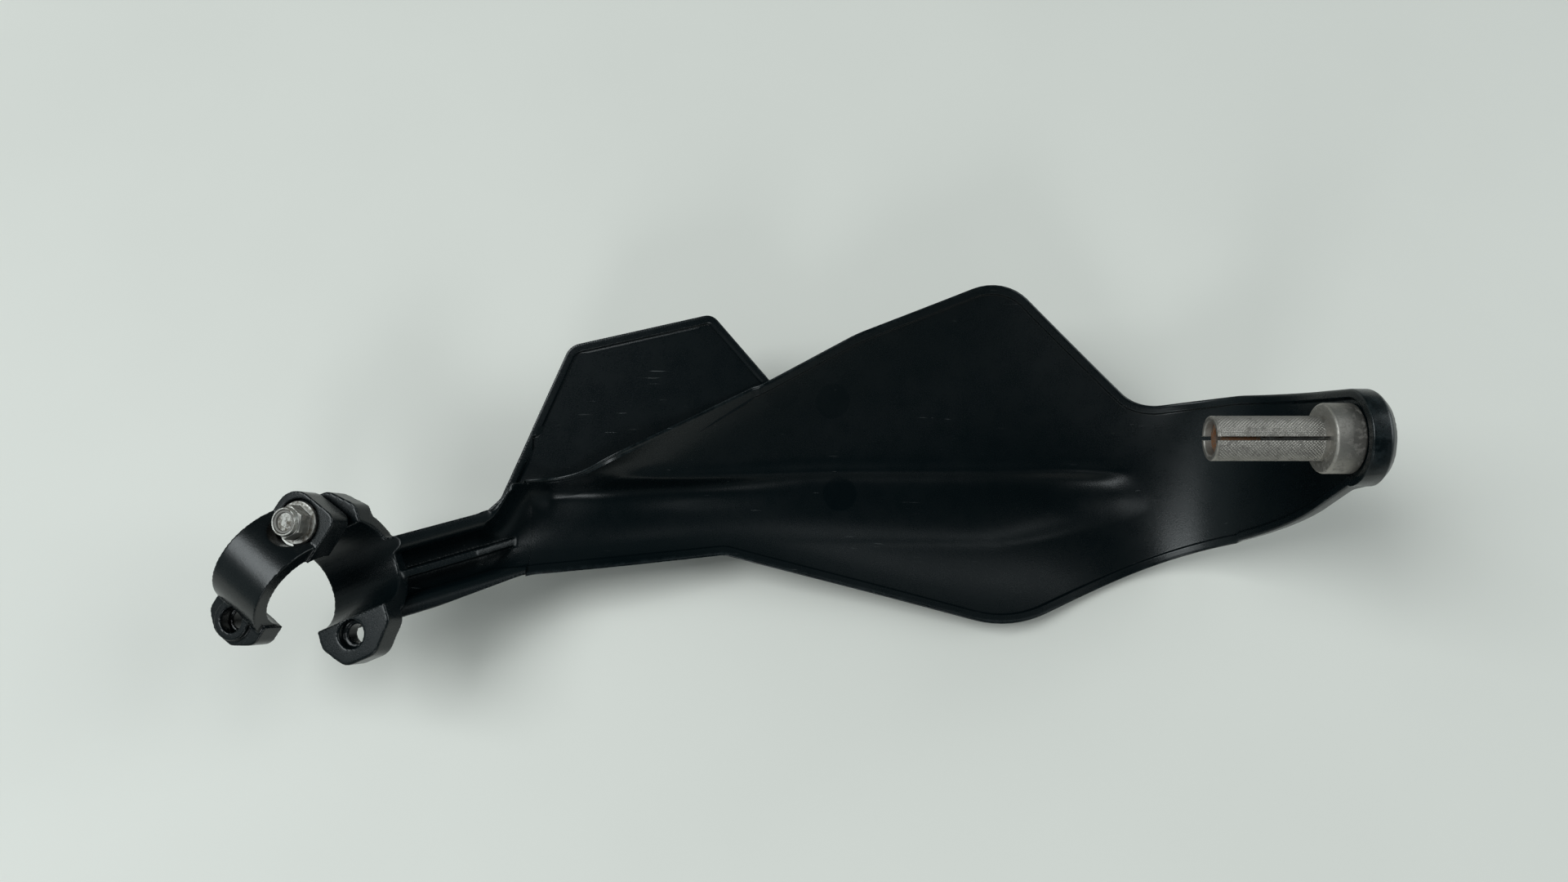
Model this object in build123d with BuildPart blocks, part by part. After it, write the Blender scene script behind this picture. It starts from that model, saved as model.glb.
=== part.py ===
from build123d import *
import os
from math import cos, radians, sin

os.makedirs("parts", exist_ok=True)

# A closed hand guard for the right end of a motorcycle handlebar, laid on its back with the
# concave side up. Millimetres. X runs out along the bar end, and the origin is the middle of
# the bar's end face. Shapes are drawn in the moulding's own directions: X along the bar end,
# Y across the shield and Z out of the mould, which leans because the guard lies on its lower rim.

# Lie and handlebar
lean = 22.0               # mould direction from upright
bar_diameter = 28.6
bar_straight = 209.0      # bar end to the bend
bend_yaw = 23.5           # how the bar turns at the bend, seen out of the mould
bend_rise = 12.0
clamp_roll = -12.0        # split plane turned about the bar
clamp_from_bend = 119.0

# Shell
wall = 3.6
bead_width = 3.0
bead_height = 0.9
turn_radius = 55.0        # inside of the turn up to the bar end
turn_height = -24.5       # axis of that turn, from the bar axis
end_radius = 15.4         # half-round top of the end wall
wall_start = -3.0         # from here outwards the end wall's own outline holds
end_thickness = 7.5
end_height = 42.0
end_side = -14.9          # lower side of the end wall at the bar's height
end_flare_side = -61.0    # and where that side has widened to
end_flare_depth = 120.0
end_chamfer = 2.5
boss_foot = -22.0
headroom = 26.0           # how far the hollow is cleared above the inner face
past = 200.0              # longer than any cut needs to be

# Knuckle pocket, a long shallow spindle sunk into the valley
pocket_left = -152.0
pocket_middle = -90.0
pocket_right = -29.0
pocket_across = -24.5
pocket_height = -58.6
pocket_radius = 25.6
pocket_end_radius = 17.5

# Flap
flap_height = -62.0
flap_tilt = 3.0

# Arm, a channel with two thick rounded walls and a middle rib
arm_start = (-312.0, -50.75, -25.0)
arm_yaw = 15.6
arm_fall = 25.7
arm_length = 41.5         # straight run of the channel past the first section
arm_half = 13.6           # outer side of either wall from the arm's middle
arm_wall = 6.3
arm_round = 5.4           # inner edge of the walls
arm_taper = 50.0          # from here the walls run out into the neck
arm_upper_end = 53.0
arm_wall_length = 62.0
channel_depth = 13.0
rib_wall = 2.6
rib_drop = 2.2            # top of the rib below the arm's rims
rib_length = 45.0
rib_runout = 22.0

# Clamp
clamp_left = 12.0
clamp_right = 15.0
clamp_wall = 5.0
bolt_offset = 19.5
lug_thickness = 9.0
lug_reach = 9.5
split_gap = 0.6           # each half stops short of the split plane by this
bolt_diameter = 6.0
bolt_clearance = 0.25     # radial
dowel_diameter = 9.6
dowel_depth = 3.0
bore_run = 25.0           # the bore runs on this far past the saddle
cap_half_width = 10.5
cap_seat = 7.5            # nut seat above the split plane
cap_boss_diameter = 13.4
cap_boss_height = 10.5
cap_recess_diameter = 8.4
cap_recess_depth = 4.5
cap_lip = 1.5             # rim of the cap's lugs above the nut seat
seat_clearance = 0.8      # radial, round the nut's flange
cap_swing = -57.0
cap_lift = 1.0            # the cap sits this far up the loose bolt

# Bolt and nut
hex_across = 10.0
head_height = 4.0
head_clearance = 0.8
flange_diameter = 14.2
flange_height = 1.6
nut_hex_height = 4.6
collar_diameter = 9.2
collar_height = 1.8
insert_diameter = 7.8
insert_height = 1.5
insert_drop = 0.3
nut_play = 0.3            # between the loose nut and the cap
bolt_short = 1.0          # the bolt ends this far inside the nut

# Bar-end sleeve
sleeve_diameter = 14.0
sleeve_length = 34.3
sleeve_web = 7.3          # solid end of the sleeve that the screw passes through
shoulder_diameter = 22.0
shoulder_thickness = 9.5
mouth_bore = 10.6
slot_width = 1.2
cone_length = 12.0
cone_small = 8.6
cone_inset = 2.2
screw_diameter = 6.0
screw_clearance = 0.4     # radial, through the sleeve and the end wall
screw_short = 0.8         # the screw ends this far inside the cone
screw_head_diameter = 10.0
screw_head_height = 6.0
socket_across = 5.0
socket_depth = 3.0
washer_diameter = 18.0
washer_thickness = 1.6
washer_drop = 4.0         # depth of the washer's seat in the end wall
fit = 0.05                # radial play of metal pieces

# Planes and places worked out from the sizes
draw = Plane(origin=(0, 0, 0), x_dir=(1, 0, 0), z_dir=(0, -sin(radians(lean)), cos(radians(lean))))
square = Plane(origin=(0, 0, 0), x_dir=draw.y_dir, z_dir=draw.x_dir)
axial = Plane(origin=(0, 0, 0), x_dir=draw.x_dir, z_dir=draw.y_dir * -1)
clamp = Plane(
    draw.location
    * Location((-bar_straight, 0, 0), (0, 0, bend_yaw))
    * Location((0, 0, 0), (0, -bend_rise, 0))
    * Location((0, 0, 0), (clamp_roll, 0, 0))
    * Location((-clamp_from_bend, 0, 0))
)
swung = Plane(
    clamp.location
    * Location((0, bolt_offset, cap_lift), (0, 0, cap_swing))
    * Location((0, -bolt_offset, 0))
)
arm = Plane(draw.location * Location(arm_start, (0, 0, arm_yaw)) * Location((0, 0, 0), (0, arm_fall, 0)))
pocket = Plane(draw.location * Location((0, pocket_across, pocket_height), (90, 0, 0)))
bar_radius = bar_diameter / 2
bolt_hole = bolt_diameter / 2 + bolt_clearance
head_room_radius = hex_across / 2 / cos(radians(30)) + head_clearance
panel_x = shoulder_thickness
turn_x = panel_x - bead_height - turn_radius
mouth_x = -sleeve_length
end_x = shoulder_thickness + end_thickness
washer_x = end_x - washer_drop


def on(plane, x, y):
    """The plane moved to a point of its own."""
    return Plane(plane.from_local_coords((x, y, 0)), x_dir=plane.x_dir, z_dir=plane.z_dir)


def across_bore(plane, x):
    """The plane square to a clamp half's bore, with its own axes across the split and out of it."""
    return Plane(plane.from_local_coords((x, 0, 0)), x_dir=plane.y_dir, z_dir=plane.x_dir)


def round_turn(angle):
    """The plane through the axis of the turn, where the shell has turned by angle."""
    run = draw.x_dir * cos(radians(angle)) + draw.z_dir * sin(radians(angle))
    return Plane(draw.from_local_coords((turn_x, 0, turn_height)), x_dir=draw.y_dir, z_dir=run)


def at_turn(points):
    """Heights above the inner face, put at the radius of the turn."""
    return [(y, height - turn_radius) for y, height in points]


# Control polygons of the shield's inner face, from the upper rim over the valley to the lower rim
stations = [
    (square.offset(-276), [(-29.8, -44.4), (-31.2, -59.9), (-50.2, -56.6), (-51.6, -41.6)]),
    (square.offset(-268), [(-27.6, -48.4), (-29, -63.5), (-47.5, -60.8), (-50.5, -45.3)]),
    (square.offset(-258), [(-13, -47.5), (-19, -67), (-42.5, -65.5), (-52, -44)]),
    (square.offset(-235), [(-6, -46), (-17.5, -70), (-40, -69), (-50, -47)]),
    (square.offset(-205), [(10, -50), (-14, -76), (-38, -76), (-49, -52)]),
    (square.offset(-170), [(28, -54.5), (-6, -81), (-33, -82), (-54, -57.5)]),
    (square.offset(-130), [(47, -54), (3, -84), (-35, -88), (-66, -58)]),
    (square.offset(-88), [(60, -53), (8, -84), (-36, -92), (-74, -58)]),
    (round_turn(0), at_turn([(34, 15.5), (8, -0.5), (-30, -8.5), (-66, 11.5)])),
    (round_turn(30), at_turn([(20, 5), (8, 0), (-28, -3), (-60, 4)])),
    (round_turn(60), at_turn([(22, 1.5), (8, 0), (-22, -0.5), (-50, 1)])),
    (round_turn(90), at_turn([(22, 0), (8, 0), (-15, 0), (-38, 0)])),
    (round_turn(90).offset(6), at_turn([(22, 0), (8, 0), (-15, 0), (-38, 0)])),
]

# Outline of the shield out of the mould, with the radius of each corner
outline = [
    ((-330, -41.5), 0),
    ((-271.5, -25.7), 6),
    ((-267.3, -16), 3),
    ((-243, -15), 45),
    ((-171, 21), 60),
    ((-140, 37.5), 60),
    ((-87, 58), 20),
    ((-33.5, 11.2), 18),
    ((wall_start, end_radius), 0),
    ((end_x + wall, end_radius + wall), 0),
    ((end_x + wall, -28.3), 0),
    ((-82.7, -69.7), 45),
    ((-188, -42.3), 10),
    ((-258, -48), 30),
    ((-330, -73.6), 0),
]

# Where the crest beside the flap carries no bead
bare_crest = [(-262, -32), (-262, -5), (-176, 30), (-176, -10)]

flap_outline = [
    ((-279, -30), 0),
    ((-270, -22), 6),
    ((-244, 33.8), 7),
    ((-192.3, 45.3), 5),
    ((-160, 8.1), 0),
    ((-200, -18), 0),
    ((-240, -18.5), 0),
]

# Lugs of the two clamp halves, along the bore and across the split
lug_outline = [
    ((-clamp_left, bar_radius - 2), 0),
    ((-clamp_left, bolt_offset + 1), 4),
    ((-5.5, bolt_offset + lug_reach), 6),
    ((6.5, bolt_offset + lug_reach), 6),
    ((clamp_right, bolt_offset + 1), 4),
    ((clamp_right, bar_radius - 2), 0),
]
cap_upper_lug = [
    ((-cap_half_width, 0), 0),
    ((-cap_half_width, bolt_offset + 9), 8),
    ((cap_half_width + 1, bolt_offset + lug_reach), 4),
    ((cap_half_width + 1, 0), 0),
]
cap_lower_lug = [
    ((-cap_half_width, 0), 0),
    ((-cap_half_width, -bolt_offset - 3), 5),
    ((-4, -bolt_offset - 7.5), 5),
    ((4, -bolt_offset - 7.5), 5),
    ((cap_half_width + 1, -bolt_offset - 2), 5),
    ((cap_half_width + 1, -bar_radius), 0),
    ((cap_half_width, -bar_radius), 0),
    ((cap_half_width, 0), 0),
]


def sideways(points, distance):
    """A control polygon moved sideways by distance, each corner mitred."""
    points = [Vector(*point) for point in points]
    normals = []
    for start, end in zip(points, points[1:]):
        along = (end - start).normalized()
        normals.append(Vector(-along.Y, along.X))
    moved = [points[0] + normals[0] * distance]
    for point, before, after in zip(points[1:-1], normals, normals[1:]):
        middle = (before + after).normalized()
        moved.append(point + middle * (distance / middle.dot(before)))
    moved.append(points[-1] + normals[-1] * distance)
    return moved


def filled_section(points):
    """A section of the shell, from its outer face up to the line between its rims."""
    with BuildSketch(Plane.XY) as section:
        with BuildLine():
            outer = Bezier(*sideways(points, wall))
            Polyline(outer @ 1, points[-1], points[0], outer @ 0)
        make_face()
    return section.sketch


def hollow_section(points, depth):
    """A section of what is cleared above the inner face, from depth below it."""
    lower = sideways(points, depth)
    upper_end = lower[0] + (lower[0] - lower[1]).normalized() * headroom
    lower_end = lower[-1] + (lower[-1] - lower[-2]).normalized() * headroom
    up = Vector(0, headroom)
    with BuildSketch(Plane.XY) as section:
        with BuildLine():
            Bezier(*lower)
            Polyline(lower[-1], lower_end, lower_end + up, upper_end + up, upper_end, lower[0])
        make_face()
    return section.sketch


def along_shell(section):
    """A section carried straight along the arm, through all stations and straight up the end wall."""
    first_plane, first_points = stations[0]
    last_plane, last_points = stations[-1]
    with BuildPart() as run:
        with BuildSketch(first_plane):
            add(section(first_points))
        extrude(amount=arm_length, dir=arm.x_dir * -1)
        with BuildSketch(last_plane):
            add(section(last_points))
        extrude(amount=end_height)
        for plane, points in stations:
            with BuildSketch(plane):
                add(section(points))
        loft()
    return run.part


def spindle(grow):
    """The knuckle pocket's solid of revolution, grown by a wall: its lower half."""
    with BuildPart() as turned:
        with BuildSketch(pocket):
            with BuildLine():
                bow = ThreePointArc(
                    (pocket_left, pocket_end_radius + grow),
                    (pocket_middle, pocket_radius + grow),
                    (pocket_right, pocket_end_radius + grow),
                )
                Polyline(bow @ 1, (pocket_right, 0), (pocket_left, 0), bow @ 0)
            make_face()
        revolve(axis=Axis(pocket.origin, pocket.x_dir))
        split(bisect_by=draw.offset(pocket_height), keep=Keep.BOTTOM)
    return turned.part


def rounded(corners):
    """A closed outline of straight sides with a radius at each corner."""
    return FilletPolyline(*[point for point, _ in corners], radius=[r for _, r in corners], close=True)


def end_face(inset):
    """The end wall seen along the bar: half round on top, widening towards the shield."""
    with BuildSketch() as face:
        Circle(end_radius - inset)
        with BuildLine():
            Polyline(
                (end_radius - inset, 0),
                (end_radius - inset, -end_flare_depth),
                (end_flare_side + inset, -end_flare_depth),
                (end_side + inset, 0),
                close=True,
            )
        make_face()
    return face.sketch


def beyond_end(inset):
    """What lies outside the end wall's outline, past the turn."""
    with BuildPart() as rest:
        with BuildSketch(square.offset(wall_start)):
            Rectangle(2 * past, 2 * past)
            add(end_face(inset), mode=Mode.SUBTRACT)
        extrude(amount=past)
    return rest.part


def within(corners, inset):
    """A prism out of the mould over an outline."""
    with BuildPart() as prism:
        with BuildSketch(draw):
            with BuildLine():
                rounded(corners)
            make_face()
            if inset:
                offset(amount=-inset, mode=Mode.REPLACE)
        extrude(amount=past, both=True)
    return prism.part


# Inside of the shield: the bead's level all over, and the panel's level inside the bead
with BuildPart() as panel_area:
    add(within(outline, bead_width))
    with BuildSketch(draw):
        with BuildLine():
            Polyline(*bare_crest, close=True)
        make_face()
    extrude(amount=past, both=True)
with BuildPart() as panel_hollow:
    add(along_shell(lambda points: hollow_section(points, bead_height)))
    add(panel_area.part, mode=Mode.INTERSECT)
    add(beyond_end(bead_width), mode=Mode.SUBTRACT)

# End boss that carries the sleeve
with BuildPart() as end_boss:
    with BuildSketch(square.offset(shoulder_thickness)):
        with BuildLine():
            crown = ThreePointArc((end_radius, 0), (0, end_radius), (-end_radius, 0))
            Polyline(crown @ 1, (-end_radius, boss_foot), (end_radius, boss_foot), crown @ 0)
        make_face()
    extrude(amount=end_thickness)
    rim = end_boss.faces().sort_by(Axis.X)[-1].edges()
    chamfer(rim.sort_by(Axis(draw.origin, draw.z_dir))[1:], length=end_chamfer)

# Flap, a step deeper than the crest that it grows from
flap = Plane(draw.location * Location((0, 0, flap_height), (flap_tilt, 0, 0)))
with BuildPart() as flap_plate:
    with BuildSketch(flap):
        with BuildLine():
            rounded(flap_outline)
        make_face()
    extrude(amount=-wall)
    with BuildSketch(flap):
        with BuildLine():
            rounded(flap_outline)
        make_face()
        offset(amount=-bead_width, mode=Mode.REPLACE)
    extrude(amount=-bead_height, mode=Mode.SUBTRACT)

# Both thick walls of the arm, rounded towards the channel
with BuildPart() as arm_walls:
    with BuildSketch(across_bore(arm, 0)):
        with BuildLine():
            rounded(
                [
                    ((arm_half - arm_wall, 0), arm_round),
                    ((arm_half - arm_wall, -channel_depth), 0),
                    ((arm_half, -channel_depth), 0),
                    ((arm_half, 0), 0),
                ]
            )
        make_face()
        mirror(about=Plane.YZ)
    extrude(amount=arm_wall_length)
    with BuildSketch(arm):
        with BuildLine():
            Polyline(
                (arm_taper, arm_wall - arm_half),
                (arm_wall_length, wall - arm_half),
                (arm_wall_length, arm_half),
                (arm_upper_end, arm_half),
                (arm_taper, arm_half - arm_wall),
                close=True,
            )
        make_face()
    extrude(amount=-channel_depth, mode=Mode.SUBTRACT)
    add(within(outline, 0), mode=Mode.INTERSECT)
with BuildPart() as arm_mouth:
    with BuildSketch(across_bore(arm, 0)):
        Rectangle(2 * arm_half, 2 * arm_round)
    extrude(amount=arm_taper)
    add(arm_walls.part, mode=Mode.SUBTRACT)

with BuildPart() as guard_moulding:
    add(along_shell(filled_section))
    add(spindle(wall))
    add(within(outline, 0), mode=Mode.INTERSECT)
    add(beyond_end(0), mode=Mode.SUBTRACT)
    add(end_boss.part)
    add(flap_plate.part)

    # Hollow, bead and pocket
    add(along_shell(lambda points: hollow_section(points, 0)), mode=Mode.SUBTRACT)
    add(panel_hollow.part, mode=Mode.SUBTRACT)
    add(spindle(0), mode=Mode.SUBTRACT)

    # Thick walls and middle rib of the arm
    add(arm_mouth.part, mode=Mode.SUBTRACT)
    add(arm_walls.part)
    with BuildSketch(Plane(arm.origin, x_dir=arm.x_dir, z_dir=arm.y_dir * -1)):
        with BuildLine():
            Polyline(
                (0, -rib_drop),
                (rib_length, -rib_drop),
                (rib_length + rib_runout, -channel_depth),
                (0, -channel_depth),
                close=True,
            )
        make_face()
    extrude(amount=rib_wall / 2, both=True)

    # Lower clamp half
    with BuildSketch(across_bore(clamp, -clamp_left)):
        Circle(bar_radius + clamp_wall)
        with Locations((0, -split_gap)):
            Rectangle(past, past, align=(Align.CENTER, Align.MIN), mode=Mode.SUBTRACT)
    extrude(amount=clamp_left + clamp_right)
    with BuildSketch(clamp.offset(-split_gap)):
        with BuildLine():
            rounded(lug_outline)
        make_face()
        mirror(about=Plane.XZ)
    extrude(amount=-(lug_thickness - split_gap))

    # Bar bore, bolt holes, seats of the bolt heads, the screw's way through the end wall and its seat
    with BuildSketch(across_bore(clamp, -2 * clamp_left)):
        Circle(bar_radius)
    extrude(amount=2 * clamp_left + clamp_right + bore_run, mode=Mode.SUBTRACT)
    with BuildSketch(clamp):
        with Locations((0, bolt_offset), (0, -bolt_offset)):
            Circle(bolt_hole)
    extrude(amount=-2 * lug_thickness, mode=Mode.SUBTRACT)
    with BuildSketch(clamp.offset(-lug_thickness)):
        with Locations((0, bolt_offset), (0, -bolt_offset)):
            RegularPolygon(head_room_radius, 6)
    extrude(amount=-2 * lug_thickness, mode=Mode.SUBTRACT)
    with BuildSketch(clamp):
        with Locations((0, bolt_offset), (0, -bolt_offset)):
            Circle(dowel_diameter / 2)
    extrude(amount=-split_gap - dowel_depth, mode=Mode.SUBTRACT)
    with BuildSketch(square):
        Circle(screw_diameter / 2 + screw_clearance)
    extrude(amount=2 * end_x, mode=Mode.SUBTRACT)
    with BuildSketch(square.offset(washer_x)):
        Circle(washer_diameter / 2 + screw_clearance)
    extrude(amount=washer_drop, mode=Mode.SUBTRACT)
guard_moulding.part.label = "guard_moulding"
export_step(guard_moulding.part, "parts/guard_moulding.step")

# The other clamp half, swung aside about the upper bolt
with BuildPart() as clamp_cap:
    with BuildSketch(across_bore(swung, -cap_half_width)):
        Circle(bar_radius + clamp_wall)
        with Locations((0, split_gap)):
            Rectangle(past, past, align=(Align.CENTER, Align.MAX), mode=Mode.SUBTRACT)
    extrude(amount=2 * cap_half_width)
    with BuildSketch(swung.offset(split_gap)):
        for corners in (cap_upper_lug, cap_lower_lug):
            with BuildLine():
                rounded(corners)
            make_face()
    extrude(amount=cap_seat - split_gap + cap_lip)
    with BuildSketch(swung.offset(split_gap)):
        with Locations((0, -bolt_offset)):
            Circle(cap_boss_diameter / 2)
    extrude(amount=cap_boss_height - split_gap)
    with BuildSketch(across_bore(swung, -2 * cap_half_width)):
        Circle(bar_radius)
    extrude(amount=4 * cap_half_width, mode=Mode.SUBTRACT)
    with BuildSketch(swung.offset(cap_seat)):
        with Locations((0, bolt_offset)):
            Circle(flange_diameter / 2 + seat_clearance)
    extrude(amount=past, mode=Mode.SUBTRACT)
    with BuildSketch(swung):
        with Locations((0, bolt_offset), (0, -bolt_offset)):
            Circle(bolt_hole)
    extrude(amount=past, mode=Mode.SUBTRACT)
    with BuildSketch(swung.offset(cap_boss_height - cap_recess_depth)):
        with Locations((0, -bolt_offset)):
            Circle(cap_recess_diameter / 2)
    extrude(amount=past, mode=Mode.SUBTRACT)
clamp_cap.part.label = "clamp_cap"
export_step(clamp_cap.part, "parts/clamp_cap.step")

# Upper clamp bolt, its nut and the nut's lock ring
upper_bolt = on(clamp, 0, bolt_offset)
nut_seat = upper_bolt.offset(cap_lift + cap_seat + nut_play)
nut_height = flange_height + nut_hex_height + collar_height
with BuildPart() as clamp_bolt:
    with BuildSketch(upper_bolt.offset(-lug_thickness)):
        RegularPolygon(hex_across / 2, 6, major_radius=False)
    extrude(amount=-head_height)
    with BuildSketch(upper_bolt.offset(-lug_thickness)):
        Circle(bolt_diameter / 2)
    extrude(amount=lug_thickness + cap_lift + cap_seat + nut_play + nut_height - bolt_short)
clamp_bolt.part.label = "clamp_bolt"
export_step(clamp_bolt.part, "parts/clamp_bolt.step")

with BuildPart() as clamp_nut:
    with BuildSketch(nut_seat):
        Circle(flange_diameter / 2)
    extrude(amount=flange_height)
    with BuildSketch(nut_seat.offset(flange_height / 2)):
        RegularPolygon(hex_across / 2, 6, major_radius=False)
    extrude(amount=flange_height / 2 + nut_hex_height)
    with BuildSketch(nut_seat.offset(flange_height + nut_hex_height)):
        Circle(collar_diameter / 2)
    extrude(amount=collar_height)
    with BuildSketch(nut_seat):
        Circle(bolt_diameter / 2 + fit)
    extrude(amount=nut_height, mode=Mode.SUBTRACT)
    with BuildSketch(nut_seat.offset(nut_height - insert_height)):
        Circle(insert_diameter / 2)
    extrude(amount=insert_height, mode=Mode.SUBTRACT)
clamp_nut.part.label = "clamp_nut"
export_step(clamp_nut.part, "parts/clamp_nut.step")

with BuildPart() as nut_insert:
    with BuildSketch(nut_seat.offset(nut_height - insert_height)):
        Circle(insert_diameter / 2 - fit)
        Circle(bolt_diameter / 2 + fit, mode=Mode.SUBTRACT)
    extrude(amount=insert_height - insert_drop)
nut_insert.part.label = "nut_insert"
export_step(nut_insert.part, "parts/nut_insert.step")

# Slotted sleeve that grips inside the bar, and the tapered nut that spreads it
taper_x = mouth_x + cone_inset + cone_length
cone_x = mouth_x + cone_inset


def taper(start, play):
    """The sleeve's tapered bore from start inwards, smaller all round by play."""
    share = (start - mouth_x) / (taper_x - mouth_x)
    large = mouth_bore + (cone_small - mouth_bore) * share
    with BuildPart() as plug:
        with BuildSketch(square.offset(start)):
            Circle(large / 2 - play)
        with BuildSketch(square.offset(taper_x)):
            Circle(cone_small / 2 - play)
        loft()
    return plug.part


with BuildPart() as bar_end_sleeve:
    with BuildSketch(axial):
        with BuildLine():
            Polyline(
                (mouth_x, cone_small / 2),
                (mouth_x, sleeve_diameter / 2),
                (0, sleeve_diameter / 2),
                (0, shoulder_diameter / 2),
                (shoulder_thickness, shoulder_diameter / 2),
                (shoulder_thickness, screw_diameter / 2 + screw_clearance),
                (-sleeve_web, screw_diameter / 2 + screw_clearance),
                (-sleeve_web, cone_small / 2),
                close=True,
            )
        make_face()
    revolve(axis=Axis.X)
    add(taper(mouth_x, 0), mode=Mode.SUBTRACT)
    with BuildSketch(draw):
        with Locations((mouth_x / 2, 0)):
            Rectangle(-mouth_x, slot_width)
    extrude(amount=sleeve_diameter, both=True, mode=Mode.SUBTRACT)
bar_end_sleeve.part.label = "bar_end_sleeve"
export_step(bar_end_sleeve.part, "parts/bar_end_sleeve.step")

with BuildPart() as expander_cone:
    add(taper(cone_x, fit))
    with BuildSketch(square.offset(cone_x)):
        Circle(screw_diameter / 2 + fit)
    extrude(amount=cone_length, mode=Mode.SUBTRACT)
expander_cone.part.label = "expander_cone"
export_step(expander_cone.part, "parts/expander_cone.step")

# Screw and washer on the outer side of the end wall
with BuildPart() as bar_end_washer:
    with BuildSketch(square.offset(washer_x)):
        Circle(washer_diameter / 2)
        Circle(screw_diameter / 2 + fit, mode=Mode.SUBTRACT)
    extrude(amount=washer_thickness)
bar_end_washer.part.label = "bar_end_washer"
export_step(bar_end_washer.part, "parts/bar_end_washer.step")

screw_tip = cone_x + screw_short
head_x = washer_x + washer_thickness
with BuildPart() as bar_end_screw:
    with BuildSketch(square.offset(screw_tip)):
        Circle(screw_diameter / 2)
    extrude(amount=head_x - screw_tip)
    with BuildSketch(square.offset(head_x)):
        Circle(screw_head_diameter / 2)
    extrude(amount=screw_head_height)
    with BuildSketch(square.offset(head_x + screw_head_height)):
        RegularPolygon(socket_across / 2, 6, major_radius=False)
    extrude(amount=-socket_depth, mode=Mode.SUBTRACT)
bar_end_screw.part.label = "bar_end_screw"
export_step(bar_end_screw.part, "parts/bar_end_screw.step")
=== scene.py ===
import logging
from dataclasses import dataclass
from enum import Enum
from math import cos, pi, radians, sin

import bmesh
import bpy
import numpy as np
from mathutils import Matrix, Vector


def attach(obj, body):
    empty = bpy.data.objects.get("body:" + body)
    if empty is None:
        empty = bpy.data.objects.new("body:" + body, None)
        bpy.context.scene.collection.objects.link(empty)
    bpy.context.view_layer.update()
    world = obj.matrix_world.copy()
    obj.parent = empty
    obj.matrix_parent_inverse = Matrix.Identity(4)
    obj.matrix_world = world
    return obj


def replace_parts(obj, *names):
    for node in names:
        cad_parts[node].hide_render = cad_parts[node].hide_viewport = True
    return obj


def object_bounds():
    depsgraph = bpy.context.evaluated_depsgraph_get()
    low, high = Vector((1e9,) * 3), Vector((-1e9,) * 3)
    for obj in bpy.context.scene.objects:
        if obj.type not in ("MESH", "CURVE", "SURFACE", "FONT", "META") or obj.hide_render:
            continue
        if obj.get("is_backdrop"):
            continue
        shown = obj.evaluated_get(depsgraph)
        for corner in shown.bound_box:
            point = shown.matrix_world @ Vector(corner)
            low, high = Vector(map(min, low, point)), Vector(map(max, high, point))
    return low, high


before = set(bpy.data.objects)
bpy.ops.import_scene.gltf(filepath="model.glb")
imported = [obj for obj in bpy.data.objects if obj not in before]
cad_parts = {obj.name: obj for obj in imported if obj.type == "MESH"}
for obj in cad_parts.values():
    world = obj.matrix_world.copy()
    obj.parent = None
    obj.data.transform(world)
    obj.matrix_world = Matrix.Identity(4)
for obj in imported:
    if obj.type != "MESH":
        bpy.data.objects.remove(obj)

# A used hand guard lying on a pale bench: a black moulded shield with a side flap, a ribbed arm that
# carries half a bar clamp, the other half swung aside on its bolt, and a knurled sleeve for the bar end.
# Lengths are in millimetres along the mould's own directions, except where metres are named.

Array = np.ndarray
Mesh, Piece, Material = bpy.types.Mesh, bpy.types.Object, bpy.types.Material
Tree, Node, Socket = bpy.types.NodeTree, bpy.types.Node, bpy.types.NodeSocket
Pair = tuple[float, float]
Triple = tuple[float, float, float]

LOG = logging.getLogger("hand_guard")
MM = 0.001
LEAN = radians(22.0)  # the mould's direction from upright, as the guard lies
FAR_FROM_RIM = 50.0  # rim distance given to pieces that have no moulded rim
SHARP = radians(55.0)  # edges that turn by more than this are shaded as sharp
TOGETHER = 1e-6  # points closer than this in metres are merged
BENCH_GAP = 0.0003  # between the object and the bench, in metres


class Body(Enum):
    """The two rigid bodies of the frame."""

    GUARD = "guard"
    CAP = "cap"


class Slot(Enum):
    """The record's material slots, which the new pieces here don't take."""

    MOULDING = "moulding"
    CAP = "cap"
    SLEEVE = "sleeve"
    CONE = "cone"


# Numbers on whole arrays


def unit(vectors: Array) -> Array:
    """Vectors divided by their lengths."""
    return vectors / np.maximum(np.linalg.norm(vectors, axis=-1, keepdims=True), 1e-12)


def ease(low: float, high: float, value: Array) -> Array:
    """A smooth step: 3t squared less 2t cubed, with t running from 0 at low to 1 at high."""
    t = np.clip((value - low) / (high - low), 0.0, 1.0)
    return t * t * (3.0 - 2.0 * t)


def fade(rise: Pair, fall: Pair, value: Array) -> Array:
    """A smooth step up over the first range and down again over the second."""
    return ease(*rise, value) * (1.0 - ease(*fall, value))


def bell(distance: Array, width: float) -> Array:
    """A bell curve: e to the power of minus the square of distance over width."""
    return np.exp(-((distance / width) ** 2))


def soft_min(a: Array, b: Array, width: float) -> Array:
    """The lesser of two heights, rounded where they are closer than width."""
    near = np.maximum(width - np.abs(a - b), 0.0) / width
    return np.minimum(a, b) - near * near * width / 4.0


def edge_drop(distance: Array, radius: float) -> Array:
    """How far a rounded edge falls away: the radius less the height of its quarter circle."""
    inside = np.clip(1.0 - distance / radius, 0.0, 1.0)
    return radius * (1.0 - np.sqrt(1.0 - inside**2))


def read(path: Array | tuple[Pair, ...], x: Array) -> Array:
    """Where a path lies across the mould at x, straight between its points."""
    return np.interp(x, *np.asarray(path).T)


def slope(path: Array, x: Array) -> Array:
    """Slope of a path at x, taken over a millimetre to either side."""
    return (read(path, x + 1.0) - read(path, x - 1.0)) / 2.0


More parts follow.
